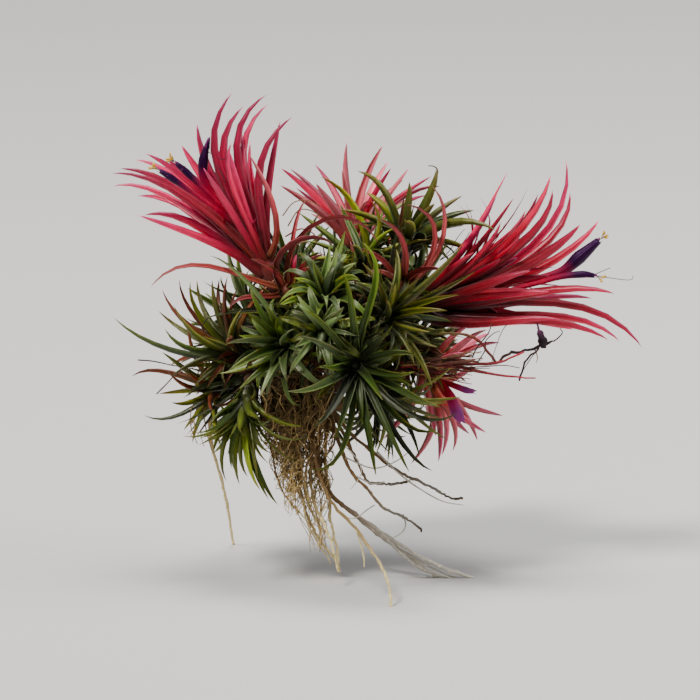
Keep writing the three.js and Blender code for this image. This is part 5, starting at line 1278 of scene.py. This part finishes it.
class AIRPLANT_OT_arches(Operator):
    """Makes the brick-red leaves that arch over the clump"""

    bl_idname = "airplant.arches"
    bl_label = "Arching leaves"

    def execute(self, context):
        make_blanks()
        # The first tone darkens the leaf edges as painted shade; the others tint the gloss and the sheen.
        tones = (0.45, 0.35, 0.35), (1, 0.7, 0.66), (1, 0.7, 0.65)
        finish = leaf_finish("arching_leaf", 0.35, 0.4, 0.12, *tones, rim_power=2.2)
        for plant in ARCHES:
            rosette_piece(plant, finish, *plant.tucks[:2], lean=(0, -20, 60))
        return {"FINISHED"}


class AIRPLANT_OT_rosettes(Operator):
    """Makes the green rosettes, with small leaves tucked between the long ones"""

    bl_idname = "airplant.rosettes"
    bl_label = "Green rosettes"

    def execute(self, context):
        make_blanks()
        finish = leaf_finish("green_leaf", 0.6, 0.38, 0.1, (2.1, 2.1, 2.6), (1, 1, 0.8), (0.9, 1, 0.8))
        for plant in GREENS:
            count = round(sizes().tuck_leaves * plant.tucks[0])
            # Leaves that point up are lightened and those that hang down darkened, as painted light and shade.
            rosette_piece(plant, finish, count, sizes().tuck_width * 1000 * plant.tucks[1], rise_painted_light=0.4)
        return {"FINISHED"}


# ---- stem, and the leaves along it ----
# Where the inner leaves start, where they end and how many there are; their dark tones are partly leaf colours
# and partly painted shade inside the clump
INNER_LEAVES = [
    ((-2, 79.6, -2.5), (19, 88, -6), 8), ((3, 95.5, -18), (8, 76, -12), 8),
    ((-50, 80, -16), (-67, 84, -12), 6), ((-48, 86.5, -9), (-65, 80, -4), 8),
    ((13.5, 90.5, -20), (24, 74, -8), 6), ((-40, 86, -13), (-47, 99, -6), 8),
    ((-50, 80, -16.5), (-62, 78, -14), 6),
]
INNER_TONES = ("shade", "russet", "moss", "olive")
DROOPING_LEAVES = 34
HUSK_HALF = 1.6
DROOPING_TONES = ("shade", "moss", "olive", "shade", "russet")
STEM_LEAF_TONES = ("green", "green", "shade", "shade", "silver", "olive", "russet")
CLUMP_MIDDLE = vec((-14, 93, -14))
UP_AND_FRONT = vec((0, 40, 60))


def stem_runs():
    """The limbs and arms of the stem, each with its points and radii."""
    limbs = [(vec(points), radii) for points, radii in STEM_LIMBS]
    return limbs + [(arm_points(plant), ARM_RADII) for plant in ROSETTES]


def stem_place(points, radii, share, turn):
    """A place on a limb or arm: its middle, the way out of it and its radius there."""
    middle = along(points, share)
    ahead = along(points, min(share + 0.05, 1)) - middle if share < 0.99 else points[-1] - points[-2]
    return middle, out_from(unit(ahead), turn), np.interp(share, np.linspace(0, 1, len(radii)), radii)


class AIRPLANT_OT_stem_leaves(Operator):
    """Makes the leaves that grow along the stem and close the gaps between rosettes"""

    bl_idname = "airplant.stem_leaves"
    bl_label = "Leaves along the stem"

    def execute(self, context):
        make_blanks()
        gathering = Gathering()
        draw = draw_from(STEM_LEAF_SEED)
        self.lay_along_stem(gathering, draw)
        self.lay_drooping(gathering, draw)
        self.lay_inner(gathering, draw)
        finish = leaf_finish("stem_leaf", 0.4, 0.4, 0.1, (2.0, 1.9, 1.8), (1, 1, 0.7), (0.9, 1, 0.8))
        place_piece("stem_leaves", gathering, finish, "green_leaf")
        return {"FINISHED"}

    def lay_along_stem(self, gathering, draw):
        """Leaves that turn out from the stem and away from the clump's middle."""
        runs = stem_runs()
        for k in range(sizes().stem_leaf_count):
            points, radii = runs[k % len(runs)]
            middle, out, radius = stem_place(points, radii, 0.1 + 0.85 * draw(), k * GOLDEN_TURN)
            away = unit(middle - CLUMP_MIDDLE + vec((0, 0, 6)))
            low_right = middle[0] > 8 and middle[1] < 104
            length = (15 + 19 * draw()) * (0.6 if low_right else 1)
            first = unit(out * 0.8 + away * 0.7 + jitter(draw) * 0.5)
            last = unit(first * 0.6 + away * 0.5 + vec((0, 0.5 - 0.9 * draw(), 0)) + jitter(draw) * 0.9)
            root = middle + out * radius * 0.6
            inner = root + first * length * 0.34
            outer = inner + unit(first + last) * length * 0.34
            path = np.array([root, inner, outer, outer + last * length * 0.34])
            tones = only(pick(STEM_LEAF_TONES, draw))
            half = 1.1 + 0.5 * draw()
            # Leaves along the stem are darkened as painted shade inside the clump.
            lay_blade(gathering, path, half, middle + away * 80, tones, draw, keel_share=0.8, painted_light_factor=0.5)

    def lay_drooping(self, gathering, draw):
        """Leaves that droop from the left limb in front of the roots' crown."""
        for k in range(DROOPING_LEAVES):
            root = along(LEFT_LIMB, (k + draw()) / DROOPING_LEAVES) + vec((0, -2, 1))
            sway = (draw() - 0.5) * 18
            drop, forward = 12 + 14 * draw(), 5 + 8 * draw()
            path = root + vec([
                (0, 0, 0), (sway * 0.3, -3, forward * 0.7), (sway * 0.7, -drop * 0.5, forward),
                (sway * (1 + 0.3 * draw()), -drop, forward * (0.5 + 0.6 * draw())),
            ])
            tones = only(pick(DROOPING_TONES, draw))
            half = 0.8 + 0.6 * draw()
            # The last factor darkens the drooping leaves as painted shade.
            lay_blade(gathering, path, half, root + UP_AND_FRONT, tones, draw, 0.6, 0.8, 0.4, 0.7)

    def lay_inner(self, gathering, draw):
        """Leaves that reach from the stem across the open places inside the clump, in dark tones that are
        partly leaf colours and partly painted shade.
        """
        for root, end, count in INNER_LEAVES:
            for _ in range(count):
                start = vec(root) + jitter(draw) * 1.6
                stop = vec(end) + jitter(draw) * 15
                bow = vec((0, 2 + 3 * draw(), 3 * draw()))
                way = stop - start
                path = np.array([start, start + way * 0.34 + bow, start + way * 0.68 + bow, stop])
                tones = only(pick(INNER_TONES, draw))
                half = 1.1 + 0.6 * draw()
                lay_blade(gathering, path, half, start + UP_AND_FRONT, tones, draw, 0.6, 0.8, 0.4)


class AIRPLANT_OT_stem(Operator):
    """Makes the woody stem with the dry scales of old leaves along it"""

    bl_idname = "airplant.stem"
    bl_label = "Woody stem"

    def execute(self, context):
        make_blanks()
        gathering = Gathering()
        draw = draw_from(STEM_SEED)
        bark = colour_of("bark")
        runs = stem_runs()
        for points, radii in runs:
            lay_tube(gathering, points, radii, 9, [bark, bark * 0.8, bark * 1.1], lumps=0.3, draw=draw)
        for k in range(sizes().husk_count):
            points, radii = runs[k % len(runs)]
            share = 0.05 + 0.8 * draw()
            middle, out, radius = stem_place(points, radii, share, k * GOLDEN_TURN)
            ahead = unit(along(points, share + 0.05) - middle)
            heading = unit(ahead + out * (0.25 + 0.5 * draw()))
            root = middle + out * radius * 0.75
            self.lay_husk(gathering, root, heading, 6 + 8 * draw(), middle + ahead * 90, draw)
        place_piece("woody_stem_fine", gathering, fibre_finish("bark", 0.85, 900, 0.8), "bark", "woody_stem")
        return {"FINISHED"}

    def lay_husk(self, gathering, root, ahead, length, facing, draw):
        """One dry scale, its outer half bent by a draw."""
        points = np.array([root + ahead * length * share for share in (0, 0.35, 0.7, 1)])
        points[2:] += jitter(draw) * length * 0.3
        lay_blade(gathering, points, HUSK_HALF, facing, ("shade", "russet", 0.3), draw, 0.8, 0.4)
        gathering.tint_last(colour_of("husk") * (0.35 + 0.75 * draw()))


# ---- roots ----
# Path, radius and colour of each thin root
FINE_ROOTS = [
    (((-28, 34, -6), (-27, 26, -7), (-23, 18, -11), (-19, 12, -15), (-17.5, 9, -16)), 0.45, "root_tip"),
    (((-24, 34, -2), (-23, 28, -4), (-21.5, 22, -6), (-21, 16, -8)), 0.4, "root_tan"),
    (((-16, 13, 0), (-15.4, 9, 0), (-14.8, 6.5, 0)), 0.5, "root_tip"),
    (((-8, 23, 17), (-6, 17, 19), (-5, 12, 20), (-5, 9, 20.5)), 0.4, "root_tip"),
    (((2, 21, -11), (9, 13, -13), (17, 7, -15), (28, 3.5, -16), (34, 2.6, -17)), 0.65, "root_grey"),
    (((4, 18, -16), (10, 14, -15), (20, 8, -16), (31, 3, -17.5)), 0.6, "root_grey"),
    (((10, 28, -14), (11, 24, -13), (9.5, 21, -12.5), (6, 19, -12)), 0.35, "root_grey"),
    (((-1, 32, 4), (-4, 30, 2), (-8, 27, 1), (-12, 27, 0)), 0.3, "root_grey"),
    (((-12, 50, 4), (-2, 46, 6), (6, 48, 7), (12, 52, 6)), 0.35, "root_grey"),
    (((-10, 44, 0), (-2, 40, 2), (3, 41, 3)), 0.3, "root_grey"),
    (((-14, 56, 5), (-8, 50, 7), (-6, 44, 7), (-10, 38, 6)), 0.3, "root_grey"),
    (((0, 52, -8), (8, 44, -10), (16, 38, -12), (25, 33, -14), (33, 31.5, -15)), 0.4, "root_grey"),
]


def root_tints(kind):
    """Colours from a root's top to its tip."""
    brown, grey, tan, tip = [colour_of("root_" + name) for name in ("brown", "grey", "tan", "tip")]
    if kind == "grey":
        return [brown, brown * 1.3, grey * 0.8, grey * 1.9]
    if kind == "dark":
        return [brown, brown * 1.6, grey * 0.45, brown * 0.7]
    return [brown, brown * 1.3, tan, tip, tip * 1.1]


def curly_path(top, end, loops, swing, draw):
    """A path that wanders and curls between two places."""
    steps = 6 + int(loops * 5)
    phase, wobble = draw() * ABOUT_A_TURN, draw() * ABOUT_A_TURN
    points = []
    for i in range(steps + 1):
        t = i / steps
        fade = min(1, 4 * t) * min(1, 3 * (1 - t) + 0.35)
        angle = phase + t * loops * ABOUT_A_TURN
        curl = vec((math.cos(angle), 0.7 * math.sin(angle * 1.3 + wobble), math.sin(angle))) * swing * fade
        points.append(top + (end - top) * t + curl)
    return points


class AIRPLANT_OT_roots(Operator):
    """Makes the long wiry roots, the column of curled fibres and the root that props the left side"""

    bl_idname = "airplant.roots"
    bl_label = "Roots"

    def execute(self, context):
        make_blanks()
        draw = draw_from(ROOT_SEED)
        finish = fibre_finish("root", 0.8, 700, 0.6)
        self.lay_tangle(finish, draw)
        left = Gathering()
        middles, radii = left_root()
        size = radii * 0.95
        lay_tube(left, middles, size, 6, root_tints("tan"), rings=50, lumps=0.4, wiggle=0.4, draw=draw)
        place_piece("left_root_fine", left, finish, "root_tan", "left_root")
        fibres = Gathering()
        radius = sizes().fibre_radius * 1000
        self.lay_fibres(fibres, radius, draw)
        self.lay_crown(fibres, radius, draw)
        lay_threads(fibres, FINE_ROOTS, (1, 0.8, 0.5), 5, draw, 0.3, (0.7, 1.2))
        place_piece("root_fibres", fibres, finish, "root_tan")
        return {"FINISHED"}

    def lay_tangle(self, finish, draw):
        """The crown, the long roots and the roots of the tangle, thinner and rougher than the solids."""
        main = Gathering()
        lay_tube(main, *ROOT_CROWN, 10, [colour_of("root_brown")] * 2, lumps=0.3, draw=draw)
        for (kind, _), (middles, radii) in zip(HANGING_ROOTS, long_roots()):
            size = radii * np.linspace(0.72, 1.15 if kind == "grey" else 0.8, len(radii))
            tints = root_tints(kind)
            lay_tube(main, middles, size, 6, tints, rings=46, own=draw(), lumps=0.45, wiggle=0.5, draw=draw)
        tints = root_tints("tan")[:3]
        for middles, radii in tangle_roots():
            size = radii * 0.7
            lay_tube(main, middles, size, 6, tints, rings=30, own=draw(), lumps=0.4, wiggle=0.5, draw=draw)
        place_piece("root_tangle_fine", main, finish, "root_brown", "root_tangle")

    def lay_fibres(self, fibres, radius, draw):
        """A column of curled fibres under the crown, and now and then one that hangs lower."""
        for k in range(sizes().fibre_count):
            s = draw()
            top = vec((-46 + 30 * s, 70 + 4 * draw(), -14 + 12 * draw()))
            reach = draw()
            if k % 7 == 0:
                end = vec((-27 + 9 * draw(), 26 - 14 * draw(), -14 + 10 * draw()))
            else:
                near = 15 * (0.7 * s + 0.3 * draw()) * (1 - 0.5 * reach)
                end = vec((-44 + 9 * reach + near, 64 - 36 * reach, -14 + 18 * draw()))
            loops = 1 + 3 * draw() if draw() < 0.6 else 4 + 3 * draw()
            path = curly_path(top, end, loops, 0.8 + 2.2 * draw(), draw)
            tan = colour_of("root_tan") * (0.6 + 1.5 * draw())
            brown = colour_of("root_brown") * (0.5 + 1.4 * draw())
            tints = [brown, brown * 1.2, (brown + tan) / 2, tan, tan * 1.3]
            size = [radius * 1.3, radius, radius * 0.7]
            lay_tube(fibres, path, size, 3, tints, rings=len(path) * 2, own=draw())

    def lay_crown(self, fibres, radius, draw):
        """Brown fibres that spill over the front of the roots' crown."""
        for _ in range(sizes().crown_fibre_count):
            top = along(LEFT_LIMB, 0.15 + 0.85 * draw()) + vec((0, -1, 1))
            end = vec((top[0] * 0.7 - 8 + 8 * draw(), 50 + 12 * draw(), 12 * draw()))
            middle = (top + end) / 2 + vec((6 * (draw() - 0.5), 3, 6 + 8 * draw()))
            upper = curly_path(top, middle, 0.5 + 2 * draw(), 1 + 2 * draw(), draw)
            lower = curly_path(middle, end, 0.5 + 2 * draw(), 1 + 2 * draw(), draw)
            path = upper + lower[1:]
            brown = colour_of("root_brown") * (0.8 + 1.8 * draw())
            tan = (brown + colour_of("root_tan") * (2.4 * draw() ** 2)) / 2
            size = [radius * 1.4, radius * 1.1, radius * 0.8]
            lay_tube(fibres, path, size, 3, [brown, tan, tan * 1.2], rings=len(path) * 2, own=draw())


# ---- flowers ----
FLOWER_SWELL = {"right_flower": 1.25, "lower_flower": 1.2}
LOWER_OPENNESS = 0.7
LOWER_SIDE_FLOWER = ((24.5, 79, -17), (30, 77, -12), (34, 75.5, -10.5), (37, 75, -10)), (0.8, 1.1, 1.2, 0.8)
STAMENS = 6
STAMEN_RADII = (0.16, 0.14, 0.12)
ANTHER_LENGTH = 1.9
ANTHER_RADIUS = 0.42
PETAL_SIDES = 12
# How far ahead of the mouth each petal end runs, and how far out as a share of the tube's radius
PETAL_END_STEPS = ((-3.4, 0.6), (-1.6, 0.85), (0, 0.8), (1.2, 1.1))
STYLES = [
    (((82.5, 119, 4), (88, 118.2, 4), (94, 117.4, 4), (96.6, 117.6, 4), (97.2, 119, 4)), 0.22, "#8c8a88"),
    (((81.5, 119, 4.5), (85, 120.5, 4.5), (88.5, 122, 4.5)), 0.2, "#5a5560"),
    (((-64, 166, -1), (-61.5, 164.5, 0), (-58.5, 163.2, 0.5), (-56.8, 164, 0.6)), 0.18, "#3a2430"),
    (((-62.5, 163, -1), (-59, 158, 1.5), (-57.5, 154, 2)), 0.16, "#3a2430"),
]


def lay_flower(gathering, points, radii, draw, openness=0.0):
    """A slim tube of rolled petals, flushed at the foot, with three petal ends that part at the mouth."""
    foot, mouth = colour_of("#a8082c"), colour_of("violet_light")
    body = colour_of("violet") * (1 - openness) + mouth * openness
    points = vec(points)
    tints = [foot * 0.5, foot, foot, (foot + body) / 2, body, body, body * 1.2]
    size = [radius * 1.08 for radius in radii]
    lay_tube(gathering, points, size, PETAL_SIDES, tints, rings=22, own=draw())
    end, wide = points[-1], radii[-1]
    ahead = unit(points[-1] - points[-2])
    for k in range(3):
        out = out_from(ahead, k * 2 * math.pi / 3 + 0.4)
        path = np.array([end + ahead * forward + out * wide * share for forward, share in PETAL_END_STEPS])
        lay_blade(gathering, path, 1.1, end + ahead * 20, only("crimson"), draw, 0.1, 0.3)
        gathering.tint_last((body * 0.5 + mouth * 0.6) * (0.8 + 0.4 * draw()))


class AIRPLANT_OT_flowers(Operator):
    """Makes the violet flowers with their stamens, anthers and styles"""

    bl_idname = "airplant.flowers"
    bl_label = "Flowers"

    def execute(self, context):
        make_blanks()
        draw = draw_from(FLOWER_SEED)
        petal = petal_finish("petal", 0.4, 0.15)
        for name, radii, points in FLOWERS:
            gathering = Gathering()
            radii = [radius * FLOWER_SWELL.get(name, 1) for radius in radii]
            openness = LOWER_OPENNESS if name == "lower_flower" else 0
            lay_flower(gathering, points, radii, draw, openness)
            if name == "lower_flower":
                lay_flower(gathering, *LOWER_SIDE_FLOWER, draw, openness)
            place_piece(name + "_petals", gathering, petal, "petal", name)
        dust = fibre_finish("pollen", 0.75, 2500, 0.5)
        for name, start, ahead in ANTHERS:
            gathering = Gathering()
            self.lay_stamens(gathering, vec(start), vec(ahead), draw)
            place_piece(name + "_stamens", gathering, dust, "pollen", name)
        styles = Gathering()
        lay_threads(styles, STYLES, (1, 0.9, 0.8), 5, draw)
        place_piece("flower_threads", styles, fibre_finish("thread", 0.6, 1500, 0.4), "petal")
        return {"FINISHED"}

    def lay_stamens(self, gathering, start, ahead, draw):
        """Thin stalks that fan out from the flower's mouth, each with a pod of pollen."""
        pollen, stalk = colour_of("pollen"), colour_of("#8a7a6a")
        step = unit(ahead) * 0.6
        for k in range(STAMENS):
            out = out_from(ahead, k * math.pi / 3 + draw() * 0.6)
            way = unit(unit(ahead) + out * (0.25 + 0.4 * draw()))
            tip = start + way * (2.4 + 1.4 * draw())
            lay_tube(gathering, [start - step, start + step, tip], STAMEN_RADII, 4, [stalk, stalk], rings=5)
            tint = pollen * (0.85 + 0.3 * draw())
            lay_pod(gathering, tip, unit(way + out * 0.6), ANTHER_LENGTH, ANTHER_RADIUS, tint, draw())


# ---- dried remains ----
WITHERED_TINTS = [("#5a2450", 1), ("#5a2450", 1), ("withered", 1), ("withered", 1.4)]
WITHERED_STALK_TINTS = [("straw", 0.6), ("withered", 1), ("withered", 1)]
HEAD_TINTS = [("straw", 0.7), ("straw", 1), ("straw", 1.3)]
SPIKE_TINTS = [("straw", 1), ("#8c2c34", 1), ("#c0304a", 1)]
BOW_TINTS = [("#5c5a30", 1), ("#7a2c24", 1), ("straw", 1)]
DRY_HEAD_TINTS = [HEAD_TINTS] * 4 + [SPIKE_TINTS] * 2 + [BOW_TINTS]
SHREDS = 70
SHRED_COLOURS = ("straw", "#7a1c20", "#3c3010", "#8c6a40")
WITHERED_THREADS = [
    (((49.5, 101, 3), (47, 97, 3), (44.5, 90, 3), (43.5, 86, 5)), 0.18, "#5a4a48"),
    (((61, 91, 0.5), (58, 87, 1), (55.5, 83, 2), (54.2, 79, 2.5)), 0.2, "#4a3a40"),
    (((67, 94, -1), (69, 95.5, -1), (70.5, 97.5, -1), (69.5, 99, -1)), 0.3, "#2a1820"),
    (((60, 91, 0), (61, 88, 0), (60.5, 86, 0)), 0.25, "#c09a50"),
]
DRY_THREADS = [
    (((36, 88, 10), (38, 92, 9), (42, 97, 8), (43.5, 101, 8)), 0.3, "#4a3a34"),
    (((38, 86, 10), (41, 91, 9), (41, 94, 9), (44, 97, 8), (46.5, 98, 8)), 0.25, "#3a2a28"),
    (((30, 84, 10), (40, 84.5, 11), (48, 85, 10), (54, 84, 9)), 0.25, "#5a3a30"),
    (((-36, 142, -12), (-32, 147, -12), (-27, 148, -13), (-22, 146, -13)), 0.25, "#9a6a48"),
    (((-34, 138, -10), (-30, 144, -10), (-25, 144, -11), (-20, 141, -12), (-17, 143, -12)), 0.25, "#8a5a40"),
    (((-35, 134, -8), (-29, 137, -8), (-24, 135, -9), (-23, 131, -9)), 0.3, "#a05040"),
    (((-33, 130, -7), (-27, 132, -7), (-24, 128, -8)), 0.3, "#b08a60"),
    (((24, 125, -12), (28, 129, -12), (31, 134, -12), (33.5, 137, -12)), 0.2, "#3c3c34"),
    (((24, 125, -12), (29, 128, -12), (33, 132, -12), (35.5, 136, -12)), 0.2, "#3c3c34"),
    (((-84, 74, -6), (-80, 78, -6), (-76, 82, -5), (-70, 84, -4)), 0.28, "#6a5a48"),
    (((-91, 87, -4), (-85, 86.5, -4), (-78, 85, -4), (-72, 84, -4)), 0.28, "#4a3a30"),
    (((-70, 65, -8), (-69.5, 61, -8), (-71, 58, -8)), 0.3, "#b09a68"),
    (((-62, 76, -12), (-66, 70, -8), (-65, 60, -8), (-63, 52.5, -9)), 0.3, "#6a4a34"),
    (((-64, 75, -12), (-70, 70, -8), (-71, 62, -8), (-68.5, 55, -9)), 0.25, "#8a6a44"),
    (((-61, 74, -13), (-62, 66, -8), (-67, 60, -8), (-66, 54, -9)), 0.22, "#5a4030"),
    (((-62, 92, -2), (-66, 96, -2), (-66, 101, -2), (-62, 104, -2), (-58, 102, -2)), 0.25, "#4a4038"),
    (((23, 157, -14), (23.2, 159.6, -14), (21.8, 161, -14), (19.6, 161.2, -14)), 0.3, "#4a4a30"),
]


def tinted(stops):
    """Colours from their names and fades."""
    return [colour_of(name) * fade for name, fade in stops]


class AIRPLANT_OT_dried(Operator):
    """Makes the withered flower, the dry head and the loose dry tendrils"""

    bl_idname = "airplant.dried"
    bl_label = "Dried remains"

    def execute(self, context):
        make_blanks()
        draw = draw_from(DRIED_SEED)
        self.make_withered(draw)
        paper = fibre_finish("straw", 0.8, 900, 0.8)
        head = Gathering()
        for (points, radii), stops in zip(DRY_HEAD_PARTS, DRY_HEAD_TINTS):
            size = [radius * 0.75 for radius in radii]
            lay_tube(head, points, size, 7, tinted(stops), own=draw(), lumps=0.4, wiggle=0.4, draw=draw)
        self.lay_shreds(head, draw)
        place_piece("dry_head_fine", head, paper, "straw", "dry_head")
        loose = Gathering()
        lay_threads(loose, DRY_THREADS, (1, 0.85, 0.6), 4, draw, 0.2)
        place_piece("dry_tendrils", loose, paper, "straw")
        return {"FINISHED"}

    def make_withered(self, draw):
        """The dried petals, the two stalks that hold them, and the threads that hang from them."""
        withered = Gathering()
        for k, (points, radii) in enumerate(WITHERED_PARTS):
            stops, wiggle = (WITHERED_STALK_TINTS, 0.7) if k else (WITHERED_TINTS, 0.2)
            size = [radius * 0.8 for radius in radii]
            lay_tube(withered, points, size, 7, tinted(stops), own=draw(), lumps=0.5, wiggle=wiggle, draw=draw)
        lay_threads(withered, WITHERED_THREADS, (1, 0.8, 0.6), 4, draw)
        finish = fibre_finish("withered_petal", 0.7, 900, 0.7)
        place_piece("withered_flower_fine", withered, finish, "withered_petal", "withered_flower")

    def lay_shreds(self, gathering, draw):
        """Shredded fibres that wrap the dry head."""
        for _ in range(SHREDS):
            turn = draw() * ABOUT_A_TURN
            out = vec((0, math.cos(turn), math.sin(turn)))
            start = vec((8 + 12 * draw(), 84.3, 8)) + out * (1.2 + 0.8 * draw())
            end = start + vec((10 + 14 * draw(), 5 * (draw() - 0.5), 3 * (draw() - 0.3)))
            end = end + out * (1 + 2 * draw())
            path = curly_path(start, end, 0.4 + 1.4 * draw(), 0.4 + 0.7 * draw(), draw)
            tint = colour_of(pick(SHRED_COLOURS, draw)) * (0.5 + 1.0 * draw())
            lay_tube(gathering, path, [0.34, 0.3, 0.12], 4, [tint, tint * 1.2], rings=12, own=draw())


# ---- stage ----
SKY_PALE = (0.62, 0.62, 0.63)
SKY_DIM = (0.12, 0.125, 0.13)
SKY_PALE_HEIGHT = 0.22
DAYLIGHT_TURN = (math.radians(24), math.radians(-26), 0)
DAYLIGHT_SPREAD = math.radians(13)
DAYLIGHT_POWER = 3.6
DAYLIGHT_TONE = (1.0, 0.97, 0.92)
# Name, place, size, power and tone of each soft light
SOFT_LIGHTS = [
    ("side_light", (1.6, -0.1, 1.0), 1.0, 18, (0.9, 0.94, 1.0)),
    ("top_light", (0.0, 0.2, 1.9), 0.8, 32, (1.0, 1.0, 1.0)),
]
LIT_HEIGHT = 0.1
VIEW_MIDDLE = (-10.26, 90.8, 0)
VIEW_DISTANCE = 2.4
VIEW_WIDTH = 0.266
SENSOR_WIDTH = 36


def add_light(kind, name, place, turn, power, tone):
    """A light with its place, turn, power and tone; its size is left to the caller."""
    bpy.ops.object.light_add(type=kind, location=place, rotation=turn)
    light = bpy.context.active_object
    light.name = name
    light.data.energy = power
    light.data.color = tone
    return light.data


class AIRPLANT_OT_stage(Operator):
    """Sets out the plain floor, the soft lights and the camera"""

    bl_idname = "airplant.stage"
    bl_label = "Floor, lights and camera"

    def execute(self, context):
        deselect_all()
        bpy.ops.mesh.primitive_circle_add(vertices=96, radius=7, fill_type="NGON", location=(0, 0, 0))
        floor = bpy.context.active_object
        floor.name = "floor"
        floor.data.materials.append(floor_finish())
        self.set_sky(context.scene)
        daylight = add_light("SUN", "daylight", (-1, -0.6, 2), DAYLIGHT_TURN, DAYLIGHT_POWER, DAYLIGHT_TONE)
        daylight.angle = DAYLIGHT_SPREAD
        for name, place, size, power, tone in SOFT_LIGHTS:
            away = vec(place) - vec((0, 0, LIT_HEIGHT))
            tilt = math.atan2(math.hypot(away[0], away[1]), away[2])
            turn = (tilt, 0, math.atan2(away[1], away[0]) + math.pi / 2)
            light = add_light("AREA", name, place, turn, power, tone)
            light.shape = "DISK"
            light.size = size
        self.set_camera(context.scene)
        return {"FINISHED"}

    def set_sky(self, scene):
        """A pale surround that dims overhead, so that the lights shape the leaves."""
        scene.world = scene.world or bpy.data.worlds.new("soft_sky")
        scene.world.use_nodes = True
        tree = scene.world.node_tree
        background = next(node for node in tree.nodes if node.type == "BACKGROUND")
        sky = Nodes(tree)
        height = sky.maths("DIVIDE", sky.split(sky.coordinates("Generated"))[2], SKY_PALE_HEIGHT, clamp=True)
        sky.feed(background, {"Color": sky.mixed(height, SKY_PALE, SKY_DIM)})

    def set_camera(self, scene):
        """A camera as far and as wide as the photo's, tilted down by the lean of the frame."""
        aim = standing(vec([VIEW_MIDDLE]))[0]
        back = vec((0, -math.cos(LEAN), math.sin(LEAN))) * VIEW_DISTANCE
        bpy.ops.object.camera_add(location=tuple(aim + back), rotation=(math.pi / 2 - LEAN, 0, 0))
        camera = bpy.context.active_object
        camera.name = "camera"
        camera.data.sensor_width = SENSOR_WIDTH
        camera.data.lens = SENSOR_WIDTH * VIEW_DISTANCE / VIEW_WIDTH
        camera.data.clip_end = 50
        scene.camera = camera


# ---- panel and registration ----
OPERATORS = (
    AIRPLANT_OT_stem,
    AIRPLANT_OT_roots,
    AIRPLANT_OT_blooms,
    AIRPLANT_OT_arches,
    AIRPLANT_OT_rosettes,
    AIRPLANT_OT_stem_leaves,
    AIRPLANT_OT_flowers,
    AIRPLANT_OT_dried,
    AIRPLANT_OT_stage,
)


class AIRPLANT_PT_panel(Panel):
    """Lists the pieces of the air plant"""

    bl_label = "Air plant"
    bl_idname = "AIRPLANT_PT_panel"
    bl_space_type = "VIEW_3D"
    bl_region_type = "UI"
    bl_category = "Air plant"

    def draw(self, context):
        for group in (context.scene.air_plant_sizes, context.scene.air_plant_colours):
            for key in group.bl_rna.properties.keys():
                if key not in ("rna_type", "name"):
                    self.layout.prop(group, key)
        for operator in OPERATORS:
            self.layout.operator(operator.bl_idname)


CLASSES = (AirPlantSizes, AirPlantColours, *OPERATORS, AIRPLANT_PT_panel)


def register():
    for kind in CLASSES:
        bpy.utils.register_class(kind)
    bpy.types.Scene.air_plant_sizes = PointerProperty(type=AirPlantSizes)
    bpy.types.Scene.air_plant_colours = PointerProperty(type=AirPlantColours)


def unregister():
    del bpy.types.Scene.air_plant_sizes
    del bpy.types.Scene.air_plant_colours
    for kind in reversed(CLASSES):
        bpy.utils.unregister_class(kind)


def main():
    register()
    for operator in OPERATORS:
        group, action = operator.bl_idname.split(".")
        getattr(getattr(bpy.ops, group), action)()
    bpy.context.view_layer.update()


if __name__ == "__main__":
    main()
